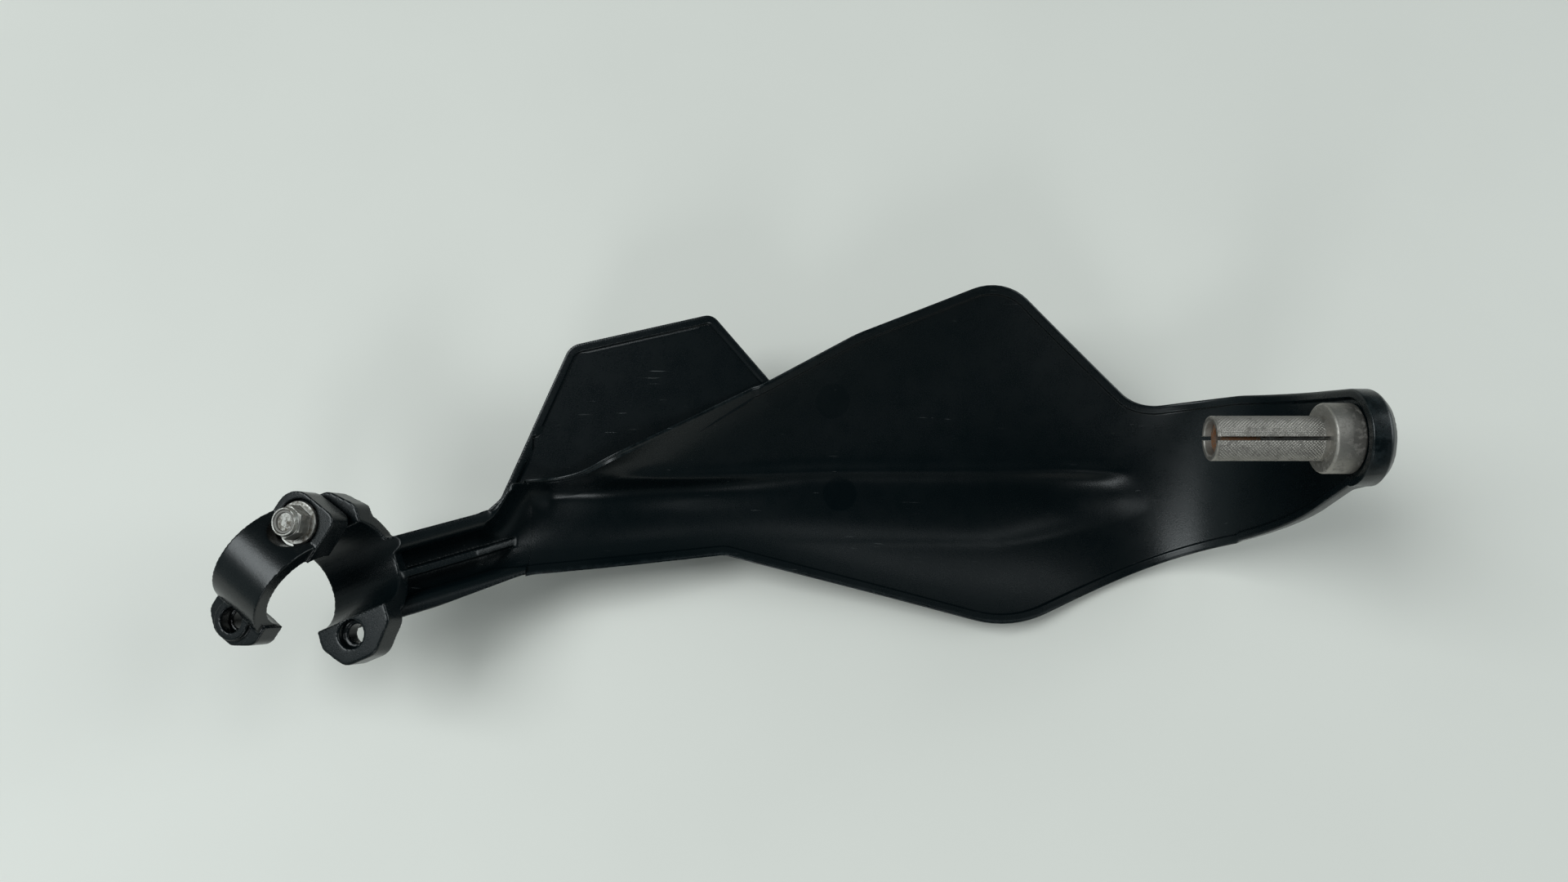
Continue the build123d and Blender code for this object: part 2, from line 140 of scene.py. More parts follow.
def to_frame(points: Array) -> Array:
    """Turn points from the mould's directions into the frame: a turn by the lean about X, in metres.

    Args:
        points: array (..., 3) in millimetres along the mould's own X, Y and Z.

    Returns:
        An array of the same shape, in metres.
    """
    x, y, z = np.moveaxis(points, -1, 0)
    return MM * np.stack([x, y * cos(LEAN) - z * sin(LEAN), y * sin(LEAN) + z * cos(LEAN)], axis=-1)


def natural_spline(knots: Array, values: Array, at: Array) -> Array:
    """Natural cubic spline: cubic between knots, with even slope and bend, and no bend at either end.

    Args:
        knots: rising parameters, one for each value.
        values: array (knots, ...) that the spline passes through.
        at: parameters to read it at.

    Returns:
        An array (at, ...) of the values there.
    """
    count, flat, gap = len(knots), values.reshape(len(knots), -1), np.diff(knots)
    inner = np.arange(1, count - 1)
    system, right = np.eye(count), np.zeros_like(flat)
    system[inner, inner - 1] = gap[:-1]
    system[inner, inner] = 2.0 * (gap[:-1] + gap[1:])
    system[inner, inner + 1] = gap[1:]
    right[1:-1] = 6.0 * np.diff(np.diff(flat, axis=0) / gap[:, None], axis=0)
    bend = np.linalg.solve(system, right)
    i = np.clip(np.searchsorted(knots, at, side="right") - 1, 0, count - 2)
    a, b = ((knots[i + 1] - at) / gap[i])[:, None], ((at - knots[i]) / gap[i])[:, None]
    curve = a * flat[i] + b * flat[i + 1]
    curve += ((a**3 - a) * bend[i] + (b**3 - b) * bend[i + 1]) * gap[i][:, None] ** 2 / 6.0
    return curve.reshape(len(at), *values.shape[1:])


def rounded_path(corners: Array, steps: int = 9) -> Array:
    """Open path of straight sides: at each inner corner an arc of its radius touches both sides.

    Args:
        corners: array (corners, 3) of x, y and radius.
        steps: points on each arc, at even turns.

    Returns:
        An array (points, 2).
    """
    at, radius = corners[:, :2], corners[1:-1, 2:]
    back, onward = unit(at[:-2] - at[1:-1]), unit(at[2:] - at[1:-1])
    half = 0.5 * np.arccos(np.clip(np.sum(back * onward, axis=-1, keepdims=True), -1.0, 1.0))
    middle = at[1:-1] + unit(back + onward) * radius / np.sin(half)
    reach = radius / np.tan(half)
    first, last = at[1:-1] + back * reach - middle, at[1:-1] + onward * reach - middle
    turn, t = (pi - 2.0 * half)[:, None], np.linspace(0.0, 1.0, steps)[None, :, None]
    swept = np.sin((1.0 - t) * turn) * first[:, None] + np.sin(t * turn) * last[:, None]
    arcs = middle[:, None] + swept / np.sin(turn)
    return np.concatenate([at[:1], arcs.reshape(-1, 2), at[-1:]])


def resampled(path: Array, count: int) -> Array:
    """An open path read at even steps of its length.

    Args:
        path: array (points, 2).
        count: points wanted.

    Returns:
        An array (count, 2).
    """
    length = np.concatenate([[0.0], np.cumsum(np.linalg.norm(np.diff(path, axis=0), axis=1))])
    even = np.linspace(0.0, length[-1], count)
    return np.stack([np.interp(even, length, path[:, 0]), np.interp(even, length, path[:, 1])], axis=-1)


# Meshes from grids and from the CAD


def grid_faces(rows: int, around: int, closed: bool = False) -> Array:
    """Quads of a grid whose rows close on themselves.

    Args:
        rows: rows of the grid.
        around: points in a row.
        closed: whether the last row meets the first, as in a turned ring.

    Returns:
        An array (faces, 4) of vertex numbers.
    """
    r, c = np.meshgrid(np.arange(rows if closed else rows - 1), np.arange(around), indexing="ij")
    m, n = (r + 1) % rows, (c + 1) % around
    return np.stack([r * around + c, r * around + n, m * around + n, m * around + c], axis=-1).reshape(-1, 4)


def ladder_caps(rows: int, half: int) -> Array:
    """Quads that close both ends of a tube whose rows run out over half their points and back.

    Args:
        rows: rows of the tube.
        half: points on the way out, and as many on the way back.

    Returns:
        An array (faces, 4) of vertex numbers.
    """
    j = np.arange(half - 1)
    first = np.stack([j + 1, j, 2 * half - 1 - j, 2 * half - 2 - j], axis=-1)
    return np.concatenate([first, first[:, ::-1] + (rows - 1) * 2 * half])


def store(piece: Piece, name: str, values: Array) -> None:
    """Store one number at each point, for the finishes to read."""
    attribute = piece.data.attributes.new(name, "FLOAT", "POINT")
    attribute.data.foreach_set("value", values.ravel().astype(np.float32))


def placed(name: str, mesh: Mesh, rim: Array | None = None) -> Piece:
    """Shade a mesh smooth between its sharp edges and link it as an object at the origin.

    Args:
        name: the piece's name.
        mesh: its mesh.
        rim: distance of each point from the moulded rim, or nothing where it has none.

    Returns:
        The new object.
    """
    mesh.polygons.foreach_set("use_smooth", np.ones(len(mesh.polygons), dtype=bool))
    mesh.set_sharp_from_angle(angle=SHARP)
    piece = bpy.data.objects.new(name, mesh)
    bpy.context.scene.collection.objects.link(piece)
    store(piece, "rim", np.full(len(mesh.vertices), FAR_FROM_RIM) if rim is None else rim)
    return piece


def new_piece(name: str, points: Array, faces: list[Array], rim: Array | None = None) -> Piece:
    """Make a mesh object from points, with its faces turned outwards by its signed volume.

    Args:
        name: the piece's name.
        points: array (..., 3) in the mould's directions.
        faces: arrays (faces, corners) of vertex numbers.
        rim: distance of each point from the moulded rim, or nothing where it has none.

    Returns:
        The new object, linked to the scene.
    """
    points = to_frame(points).reshape(-1, 3)
    middle = points.mean(axis=0)
    volume = 0.0
    for part in faces:
        a, b, c = (points[part[:, k]] - middle for k in range(3))
        volume += np.sum(a * np.cross(b, c))
        if part.shape[1] == 4:
            volume += np.sum(a * np.cross(c, points[part[:, 3]] - middle))
    turned = [part[:, ::-1] if volume < 0 else part for part in faces]
    mesh = bpy.data.meshes.new(name)
    mesh.from_pydata(points.tolist(), [], [face for part in turned for face in part.tolist()])
    return placed(name, mesh, rim)


def turned_ring(name: str, profile: Array, around: int = 96) -> Piece:
    """A closed profile turned about the bar's axis.

    Args:
        name: the piece's name.
        profile: array (points, 2) of place along X and radius.
        around: points round the axis.

    Returns:
        The new object.
    """
    angle = np.linspace(0.0, 2.0 * pi, around, endpoint=False)[None]
    x, r = profile[:, :1], profile[:, 1:]
    points = np.stack([x + 0.0 * angle, r * np.cos(angle), r * np.sin(angle)], axis=-1)
    return new_piece(name, points, [grid_faces(len(profile), around, closed=True)])


def scuff_and_highlight_strength(x: Array, y: Array, spots: tuple[Triple, ...]) -> Array:
    """How strongly each point takes the spots (x, y, reach): the greatest of bell curves about them. The
    spots add light scratches, and on the shield's lower slope they are a painted highlight.
    """
    curves = [np.exp(-((x - sx) ** 2 + (y - sy) ** 2) / reach**2) for sx, sy, reach in spots]
    return np.max(np.stack(curves), axis=0)


def mend(mesh: Mesh, beyond: float | None = None) -> None:
    """Merge points that lie together, and if asked remove one end and close the cut.

    Args:
        mesh: the mesh to change.
        beyond: what lies further along X than this is removed.
    """
    bm = bmesh.new()
    bm.from_mesh(mesh)
    bmesh.ops.remove_doubles(bm, verts=bm.verts[:], dist=TOGETHER)
    if beyond is not None:
        plane = {"plane_co": (beyond * MM, 0, 0), "plane_no": (1, 0, 0)}
        bmesh.ops.bisect_plane(bm, geom=bm.verts[:] + bm.edges[:] + bm.faces[:], clear_outer=True, **plane)
        bmesh.ops.holes_fill(bm, edges=[e for e in bm.edges if e.is_boundary])
    bm.to_mesh(mesh)
    bm.free()


def softened_copy(
    node: str, name: str, cell: float, keep: float = 1.0, past: float | None = None, spare: float = 18.0
) -> Piece:
    """Copy a CAD node with moulded, rounded edges: even small cells over it, then smoothed.

    Args:
        node: the CAD node to copy.
        name: the new piece's name.
        cell: cell size, which sets how round the edges become.
        keep: share of the faces that stays.
        past: if given, only what lies before this x is kept.
        spare: how far past that the copy still reaches while it is smoothed.

    Returns:
        The new object.
    """
    rough = bpy.data.objects.new(name + "_rough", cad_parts[node].data.copy())
    bpy.context.scene.collection.objects.link(rough)
    mend(rough.data, None if past is None else past + spare)
    remesh = rough.modifiers.new("cells", "REMESH")
    remesh.mode, remesh.voxel_size, remesh.use_smooth_shade = "VOXEL", cell * MM, True
    smooth = rough.modifiers.new("smooth", "SMOOTH")
    smooth.iterations, smooth.factor = 4, 0.5
    if keep < 1.0:
        rough.modifiers.new("fewer", "DECIMATE").ratio = keep
    mesh = bpy.data.meshes.new_from_object(rough.evaluated_get(bpy.context.evaluated_depsgraph_get()))
    bpy.data.objects.remove(rough)
    if past is not None:
        mend(mesh, past)
    mesh.materials.clear()
    mesh.name = name
    return placed(name, mesh)


# Shader node groups and finishes

SCRATCH_TURNS = (0.35, 1.25, 2.4)  # directions of the scratches
SCRATCH_STRETCH = (0.035, 1.9, 0.3)  # long along the scratch and thin across it
EJECTOR_MARKS = ((-145.0, -21.0, 0.5), (-148.0, 14.0, 0.4), (-167.0, 17.5, 0.3))  # x, y and strength
EJECTOR_EDGE = (5.9, 6.9)  # a mark's strength falls off over these radii


class Graph:
    """Adds and links the nodes of one material, group or world."""

    def __init__(self, tree: Tree) -> None:
        """Work on this node tree."""
        self.tree = tree

    def feed(self, socket: Socket, value: object) -> None:
        """Link an input to another socket, or set its own value.

        Args:
            socket: the input.
            value: a socket or a constant.
        """
        if isinstance(value, Socket):
            self.tree.links.new(value, socket)
        else:
            socket.default_value = value

    def add(self, kind: str, inputs: dict[str | int, object] | None = None, **settings: object) -> Node:
        """Add a node.

        Args:
            kind: the node's type.
            inputs: what its inputs are fed, by name or place.
            settings: its own settings.

        Returns:
            The new node.
        """
        node = self.tree.nodes.new(kind)
        for key, value in settings.items():
            setattr(node, key, value)
        for key, value in (inputs or {}).items():
            self.feed(node.inputs[key], value)
        return node

    def math(self, operation: str, a: object, b: object = 0.0) -> Socket:
        """One Math node's result."""
        return self.add("ShaderNodeMath", {0: a, 1: b}, operation=operation).outputs[0]

    def plus(self, a: object, b: object) -> Socket:
        """The sum of two values."""
        return self.math("ADD", a, b)

    def minus(self, a: object, b: object) -> Socket:
        """The first value less the second."""
        return self.math("SUBTRACT", a, b)

    def times(self, a: object, b: object) -> Socket:
        """The product of two values."""
        return self.math("MULTIPLY", a, b)

    def greater(self, a: object, b: object) -> Socket:
        """The greater of two values."""
        return self.math("MAXIMUM", a, b)

    def span(self, value: object, low: float, high: float, start: float = 0.0, end: float = 1.0) -> Socket:
        """A value carried smoothly from the range low to high to the range start to end, held at its ends."""
        inputs = {"Value": value, "From Min": low, "From Max": high, "To Min": start, "To Max": end}
        return self.add("ShaderNodeMapRange", inputs, interpolation_type="SMOOTHSTEP").outputs["Result"]

    def noise(self, vector: Socket, scale: object, detail: float = 2.0, roughness: float = 0.5) -> Socket:
        """Even noise between 0 and 1."""
        inputs = {"Vector": vector, "Scale": scale, "Detail": detail, "Roughness": roughness}
        return self.add("ShaderNodeTexNoise", inputs).outputs["Fac"]

    def mix(self, factor: object, a: object, b: object) -> Socket:
        """Two colours mixed."""
        return self.add("ShaderNodeMix", {0: factor, 6: a, 7: b}, data_type="RGBA").outputs[2]

    def turned(self, vector: Socket, turn: Triple, scale: Triple) -> Socket:
        """Coordinates turned and stretched."""
        return self.add("ShaderNodeMapping", {"Vector": vector, "Rotation": turn, "Scale": scale}).outputs[0]

    def along(self, vector: Socket, way: Triple) -> Socket:
        """How far a vector reaches along a direction."""
        return self.add("ShaderNodeVectorMath", {0: vector, 1: way}, operation="DOT_PRODUCT").outputs["Value"]

    def stored(self, name: str) -> Socket:
        """A number stored at each point."""
        return self.add("ShaderNodeAttribute", attribute_name=name).outputs["Fac"]

    def group(self, tree: Tree, **inputs: object) -> Socket:
        """The result of a node group, placed with its own values."""
        return self.add("ShaderNodeGroup", inputs, node_tree=tree).outputs[0]

    def bump(self, height: Socket, strength: float, depth: float) -> Socket:
        """A normal that follows a height, with its depth in millimetres."""
        inputs = {"Strength": strength, "Distance": depth * MM, "Height": height}
        return self.add("ShaderNodeBump", inputs).outputs["Normal"]


class Effects:
    """Surface effects that several finishes share, each a node group built once."""

    def __init__(self) -> None:
        """Build all groups."""
        self.place = self.millimetres()
        self.scratches = self.scratch_group()
        self.grain = self.grain_group()
        self.dust = self.dust_group()
        self.blotch = self.blotch_group()
        self.edge = self.edge_group()
        self.marks = self.mark_group()

    @staticmethod
    def start(name: str, result: str, **inputs: float) -> tuple[Graph, dict[str, Socket]]:
        """Make an empty group with a Place vector, float inputs and one float result.

        Args:
            name: the group's name.
            result: the result's name.
            inputs: usual values of the float inputs, by name.

        Returns:
            The group's graph and what it is given, by name.
        """
        tree = bpy.data.node_groups.new(name, "ShaderNodeTree")
        tree.interface.new_socket("Place", in_out="INPUT", socket_type="NodeSocketVector")
        for key, value in inputs.items():
            socket = tree.interface.new_socket(key, in_out="INPUT", socket_type="NodeSocketFloat")
            socket.default_value = value
        tree.interface.new_socket(result, in_out="OUTPUT", socket_type="NodeSocketFloat")
        graph = Graph(tree)
        given = graph.add("NodeGroupInput").outputs
        return graph, {key: given[key] for key in ("Place", *inputs)}

    @staticmethod
    def finish(graph: Graph, result: Socket) -> Tree:
        """Hand out a group's result."""
        graph.add("NodeGroupOutput", {0: result})
        return graph.tree

    def millimetres(self) -> Tree:
        """Object coordinates in millimetres.

        Returns:
            The node group.
        """
        tree = bpy.data.node_groups.new("place_in_millimetres", "ShaderNodeTree")
        tree.interface.new_socket("Place", in_out="OUTPUT", socket_type="NodeSocketVector")
        graph = Graph(tree)
        place = graph.add("ShaderNodeTexCoord").outputs["Object"]
        scaled = graph.add("ShaderNodeVectorMath", {0: place, 3: 1.0 / MM}, operation="SCALE")
        return self.finish(graph, scaled.outputs[0])

    def scratch_group(self) -> Tree:
        """Fine scratches: noise drawn out long and thin in three directions, kept where it peaks, with more
        on the spots, which paint a highlight on the shield's lower slope.

        Returns:
            The node group.
        """
        graph, given = self.start("fine_scratches", "Mask", Amount=0.5, Scuff=0.0)
        place, scuff_and_highlight = given["Place"], given["Scuff"]
        peak, by_amount, by_scuff_and_highlight, contrast = 0.80, 0.16, 0.06, 22.0
        # more scratches on the spots: on the shield's lower slope these light lines are a painted highlight
        depth = graph.plus(graph.times(given["Amount"], by_amount), graph.times(scuff_and_highlight, by_scuff_and_highlight))
        limit = graph.minus(peak, depth)
        total: object = 0.0
        for turn in SCRATCH_TURNS:
            drawn = graph.turned(place, (LEAN, 0.0, turn), SCRATCH_STRETCH)
            line = graph.noise(drawn, scale=1.0, detail=3.0, roughness=0.62)
            total = graph.greater(total, graph.times(graph.minus(line, limit), contrast))
        patch = graph.span(graph.noise(place, scale=0.045, detail=3.0), 0.46, 0.66)
        mask = graph.times(graph.math("MINIMUM", total, 1.0), graph.greater(patch, scuff_and_highlight))
        return self.finish(graph, mask)

    def grain_group(self) -> Tree:
        """Moulded grain: two sizes of fine noise, the coarser one weaker.

        Returns:
            The node group.
        """
        graph, given = self.start("moulded_grain", "Height", Size=0.5)
        coarse_share = 0.8
        fine = graph.noise(given["Place"], scale=graph.math("DIVIDE", 1.0, given["Size"]))
        coarse = graph.noise(given["Place"], scale=0.12, detail=3.0)
        return self.finish(graph, graph.plus(fine, graph.times(coarse, coarse_share)))

    def dust_group(self) -> Tree:
        """Dust: wide drifts of it broken up by fine specks.

        Returns:
            The node group.
        """
        graph, given = self.start("settled_dust", "Mask", Amount=0.5)
        even_share, speck_share = 0.2, 0.8
        wide = graph.noise(given["Place"], scale=0.03, detail=4.0, roughness=0.6)
        fine = graph.noise(given["Place"], scale=1.3, detail=3.0, roughness=0.7)
        drift, speck = graph.span(wide, 0.42, 0.72), graph.span(fine, 0.40, 0.75)
        both = graph.times(drift, graph.plus(graph.times(speck, speck_share), even_share))
        return self.finish(graph, graph.times(both, given["Amount"]))

    def blotch_group(self) -> Tree:
        """Stains: noise of one size with ragged edges, kept where it is high.

        Returns:
            The node group.
        """
        graph, given = self.start("stains", "Mask", Size=3.0, Amount=0.5)
        peak, by_amount, contrast = 0.68, 0.3, 7.0
        scale = graph.math("DIVIDE", 1.0, given["Size"])
        ragged = graph.noise(given["Place"], scale=scale, detail=6.0, roughness=0.65)
        limit = graph.minus(peak, graph.times(given["Amount"], by_amount))
        mask = graph.times(graph.minus(ragged, limit), contrast)
        return self.finish(graph, graph.greater(graph.math("MINIMUM", mask, 1.0), 0.0))

    def edge_group(self) -> Tree:
        """Wear along a rim: strongest at the rim itself, broken up by noise.

        Returns:
            The node group.
        """
        graph, given = self.start("rim_wear", "Mask", Distance=FAR_FROM_RIM, Width=1.0)
        share = graph.math("DIVIDE", given["Distance"], given["Width"])
        patchy = graph.noise(given["Place"], scale=0.35, detail=5.0, roughness=0.7)
        broken = graph.span(patchy, 0.42, 0.66)
        return self.finish(graph, graph.times(graph.greater(graph.minus(1.0, share), 0.0), broken))

    def mark_group(self) -> Tree:
        """Ejector marks: discs seen out of the mould, each a little stronger or weaker.

        Returns:
            The node group.
        """
        graph, given = self.start("ejector_marks", "Mask", Inside=0.0)
        x = graph.along(given["Place"], (1.0, 0.0, 0.0))
        y = graph.along(given["Place"], (0.0, cos(LEAN), sin(LEAN)))
        total: object = 0.0
        for mark_x, mark_y, strength in EJECTOR_MARKS:
            gaps = [graph.minus(x, mark_x), graph.minus(y, mark_y)]
            distance = graph.math("SQRT", graph.plus(*[graph.times(gap, gap) for gap in gaps]))
            total = graph.greater(total, graph.span(distance, *EJECTOR_EDGE, strength, 0.0))
        return self.finish(graph, graph.times(total, given["Inside"]))


def new_material(name: str) -> tuple[Material, Graph]:
    """Make an empty node material.

    Args:
        name: the material's name.

    Returns:
        The material and its graph.
    """
    material = bpy.data.materials.new(name)
    material.use_nodes = True
    material.node_tree.nodes.clear()
    return material, Graph(material.node_tree)


def add_shader(graph: Graph, inputs: dict[str | int, object]) -> None:
    """Add a material's shader with these inputs and link it to the output."""
    shader = graph.add("ShaderNodeBsdfPrincipled", inputs)
    graph.add("ShaderNodeOutputMaterial", {"Surface": shader.outputs[0]})


@dataclass(frozen=True)
class MouldedPlastic:
    """Moulded plastic: fine grain, scratches, dust, ejector marks, a worn rim, and spots of extra scratches
    that paint a dim highlight on the shield's lower slope.
    """

    name: str
    colour: Triple
    roughness: float
    scratch: float
    scratch_tone: Triple
    dust: float
    dust_tone: Triple
    grain_size: float
    grain_height: float
    rim_wear: float = 0.0
    gloss: float = 0.5
    rim_width: float = 1.3
    scratch_cover: float = 0.75
    scratch_depth: float = 1.5  # times the grain's height
    roughness_spread: float = 0.03
    dust_roughness: float = 0.25  # added where dust lies
    mark_polish: float = 0.12  # taken off on ejector marks
    grain_range: Pair = (0.5, 1.2)  # heights over which the grain changes the roughness
    bump: float = 0.6

    def build(self, effects: Effects) -> Material:
        """Make the material.

        Args:
            effects: the shared node groups.

        Returns:
            The material.
        """
        material, graph = new_material(self.name)
        place, scuff_and_highlight, rim = graph.group(effects.place), graph.stored("scuff_and_highlight"), graph.stored("rim")
        # the stored spots thicken the light scratches: a painted highlight on the shield's lower slope,
        # scuffs on the flap
        scratch = graph.group(effects.scratches, Place=place, Amount=self.scratch, Scuff=scuff_and_highlight)
        mark = graph.group(effects.marks, Place=place, Inside=graph.stored("inside"))
        dust = graph.group(effects.dust, Place=place, Amount=self.dust)
        grain = graph.group(effects.grain, Place=place, Size=self.grain_size)
        wear = graph.group(effects.edge, Place=place, Distance=rim, Width=self.rim_width)
        dusty = (*self.dust_tone, 1.0)
        colour = graph.mix(dust, (*self.colour, 1.0), dusty)
        colour = graph.mix(graph.times(wear, self.rim_wear), colour, dusty)
        colour = graph.mix(graph.times(scratch, self.scratch_cover), colour, (*self.scratch_tone, 1.0))
        low, high = self.roughness - self.roughness_spread, self.roughness + self.roughness_spread
        rough = graph.span(grain, *self.grain_range, low, high)
        rough = graph.plus(rough, graph.times(dust, self.dust_roughness))
        sunk = graph.plus(graph.times(scratch, self.scratch_depth), mark)
        add_shader(graph, {
            "Base Color": colour,
            "Roughness": graph.minus(rough, graph.times(mark, self.mark_polish)),
            "Specular IOR Level": self.gloss,
            "Normal": graph.bump(graph.minus(grain, sunk), self.bump, self.grain_height),
        })
        return material


@dataclass(frozen=True)
class WornMetal:
    """Metal with a dull film: bare tone, stains of a second tone, fine scratches and pits."""

    name: str
    bare: Triple
    stain: Triple
    stain_size: float
    stain_amount: float
    roughness: float
    stain_roughness: float
    stain_metallic: float
    scratch: float
    pit_height: float
    grain_size: float = 0.35
    grain_range: Pair = (0.4, 1.3)  # heights over which the grain dulls the bare tone
    dull: float = 0.75  # share of the bare tone that is left there
    scratch_cover: float = 0.5
    bump: float = 0.5

    def build(self, effects: Effects) -> Material:
        """Make the material.

        Args:
            effects: the shared node groups.

        Returns:
            The material.
        """
        material, graph = new_material(self.name)
        place = graph.group(effects.place)
        stain = graph.group(effects.blotch, Place=place, Size=self.stain_size, Amount=self.stain_amount)
        scratch = graph.group(effects.scratches, Place=place, Amount=self.scratch)
        grain = graph.group(effects.grain, Place=place, Size=self.grain_size)
        bare, dull = (*self.bare, 1.0), (*(self.dull * tone for tone in self.bare), 1.0)
        film = graph.mix(graph.span(grain, *self.grain_range), bare, dull)
        colour = graph.mix(stain, film, (*self.stain, 1.0))
        add_shader(graph, {
            "Base Color": graph.mix(graph.times(scratch, self.scratch_cover), colour, bare),
            "Metallic": graph.span(stain, 0.0, 1.0, 1.0, self.stain_metallic),
            "Roughness": graph.span(stain, 0.0, 1.0, self.roughness, self.stain_roughness),
            "Normal": graph.bump(graph.plus(grain, stain), self.bump, self.pit_height),
        })
        return material


SHIELD_PLASTIC = MouldedPlastic(
    "satin_black_moulding", colour=(0.0009, 0.0030, 0.0038), roughness=0.28,
    scratch=0.42, scratch_tone=(0.16, 0.17, 0.17), dust=0.04, dust_tone=(0.016, 0.022, 0.024),
    grain_size=0.45, grain_height=0.04, rim_wear=0.5, gloss=0.3,
)
CAP_PLASTIC = MouldedPlastic(
    "polished_black_cap", colour=(0.0020, 0.0036, 0.0042), roughness=0.25,
    scratch=0.55, scratch_tone=(0.22, 0.22, 0.21), dust=0.16, dust_tone=(0.040, 0.045, 0.045),
    grain_size=0.6, grain_height=0.03, gloss=0.3,
)
LOCK_RING = MouldedPlastic(
    "grey_lock_ring", colour=(0.16, 0.15, 0.135), roughness=0.5,
    scratch=0.3, scratch_tone=(0.3, 0.29, 0.27), dust=0.5, dust_tone=(0.09, 0.08, 0.065),
    grain_size=0.5, grain_height=0.04,
)
DIRTY_ZINC = WornMetal(
    "dirty_zinc", bare=(0.38, 0.37, 0.345), stain=(0.10, 0.085, 0.065), stain_size=2.2, stain_amount=0.66,
    roughness=0.42, stain_roughness=0.70, stain_metallic=0.35, scratch=0.5, pit_height=0.05,
)
OXIDISED_ALUMINIUM = WornMetal(
    "oxidised_aluminium", bare=(0.375, 0.352, 0.322), stain=(0.165, 0.152, 0.137), stain_size=2.0,
    stain_amount=0.55, roughness=0.52, stain_roughness=0.72, stain_metallic=0.35, scratch=0.35,
    pit_height=0.05,
)
RUSTY_STEEL = WornMetal(
    "rusty_steel", bare=(0.22, 0.16, 0.12), stain=(0.15, 0.062, 0.024), stain_size=1.6, stain_amount=1.0,
    roughness=0.55, stain_roughness=0.85, stain_metallic=0.05, scratch=0.2, pit_height=0.12,
)
PLATED_STEEL = WornMetal(
    "plated_steel", bare=(0.50, 0.50, 0.50), stain=(0.16, 0.13, 0.10), stain_size=2.5, stain_amount=0.45,
    roughness=0.33, stain_roughness=0.6, stain_metallic=0.5, scratch=0.4, pit_height=0.04,
)


def dress(piece: Piece, material: Material, body: Body) -> Piece:
    """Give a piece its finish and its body.

    Args:
        piece: the new piece.
        material: its finish.
        body: the body that it moves with.

    Returns:
        The same piece.
    """
    piece.data.materials.clear()
    piece.data.materials.append(material)
    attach(piece, body.value)
    LOG.info("%s: %d faces, rides on %s", piece.name, len(piece.data.polygons), body.value)
    return piece


# The moulding

# Place along the shield, then across and height
STRAIGHT_SECTIONS = (
    (-276.0, ((-29.8, -44.4), (-31.2, -59.9), (-50.2, -56.6), (-51.6, -41.6))),
    (-268.0, ((-27.6, -48.4), (-29.0, -63.5), (-47.5, -60.8), (-50.5, -45.3))),
    (-258.0, ((-13.0, -47.5), (-19.0, -67.0), (-42.5, -65.5), (-52.0, -44.0))),
    (-235.0, ((-6.0, -46.0), (-17.5, -70.0), (-40.0, -69.0), (-50.0, -47.0))),
    (-205.0, ((10.0, -50.0), (-14.0, -76.0), (-38.0, -76.0), (-49.0, -52.0))),
    (-170.0, ((28.0, -54.5), (-6.0, -81.0), (-33.0, -82.0), (-54.0, -57.5))),
    (-130.0, ((47.0, -54.0), (3.0, -84.0), (-35.0, -88.0), (-66.0, -58.0))),
    (-88.0, ((60.0, -53.0), (8.0, -84.0), (-36.0, -92.0), (-74.0, -58.0))),
)
END_WALL = ((22.0, 0.0), (8.0, 0.0), (-15.0, 0.0), (-38.0, 0.0))
# Turn in degrees, rise past it, then across and height above the inner face of the turn
TURNED_SECTIONS = (
    (0.0, 0.0, ((34.0, 15.5), (8.0, -0.5), (-30.0, -8.5), (-66.0, 11.5))),
    (30.0, 0.0, ((20.0, 5.0), (8.0, 0.0), (-28.0, -3.0), (-60.0, 4.0))),
    (60.0, 0.0, ((22.0, 1.5), (8.0, 0.0), (-22.0, -0.5), (-50.0, 1.0))),
    *((90.0, rise, END_WALL) for rise in (0.0, 6.0, 22.0, 48.0)),
)
# Outlines are x, y and the corner's radius
UPPER_OUTLINE = np.array([
    (-330.0, -41.5, 0.0), (-271.5, -25.7, 6.0), (-267.3, -16.0, 3.0), (-243.0, -15.0, 45.0),
    (-171.0, 21.0, 60.0), (-140.0, 37.5, 60.0), (-87.0, 58.0, 20.0), (-33.5, 11.2, 18.0),
    (-3.0, 15.4, 0.0), (20.6, 19.0, 0.0),
])
LOWER_OUTLINE = np.array([
    (-330.0, -73.6, 0.0), (-258.0, -48.0, 30.0), (-188.0, -42.3, 10.0), (-82.7, -69.7, 45.0),
    (20.6, -28.3, 0.0),
])
FLAP_OUTLINE = np.array([(-258.0, 3.75, 0.0), (-244.0, 33.8, 7.0), (-192.3, 45.3, 5.0), (-170.5, 20.2, 0.0)])
# The flap's root is x and y, inside the crest's wall
FLAP_ROOT = np.array([
    (-170.5, 20.2), (-180.0, 12.5), (-200.0, 0.6), (-220.0, -9.5), (-240.0, -17.4), (-258.0, -18.2),
    (-258.0, 3.75),
])
# Steps in from a rim, close together where its edge and its bead turn
RIM_STEPS = np.array([
    0.0, 0.06, 0.16, 0.3, 0.5, 0.8, 1.3, 1.9, 2.4, 2.65, 2.85, 3.0, 3.15, 3.35, 3.6, 4.2, 5.4, 7.5,
])


@dataclass
class Rim:
    """The moulding's wall and the bead and rounded edge along its rims."""

    wall: float = 3.6
    bead_width: float = 3.0
    bead_height: float = 0.9
    bead_edge: float = 0.3  # half the width of the bead's inner slope
    edge_round: float = 0.7

    def fall(self, distance: Array) -> Array:
        """How far the rounded edge falls away at a distance from the rim."""
        return edge_drop(distance, self.edge_round)

    def inside(self, distance: Array) -> Array:
        """0 on the bead and 1 inside it."""
        return ease(self.bead_width - self.bead_edge, self.bead_width + self.bead_edge, distance)


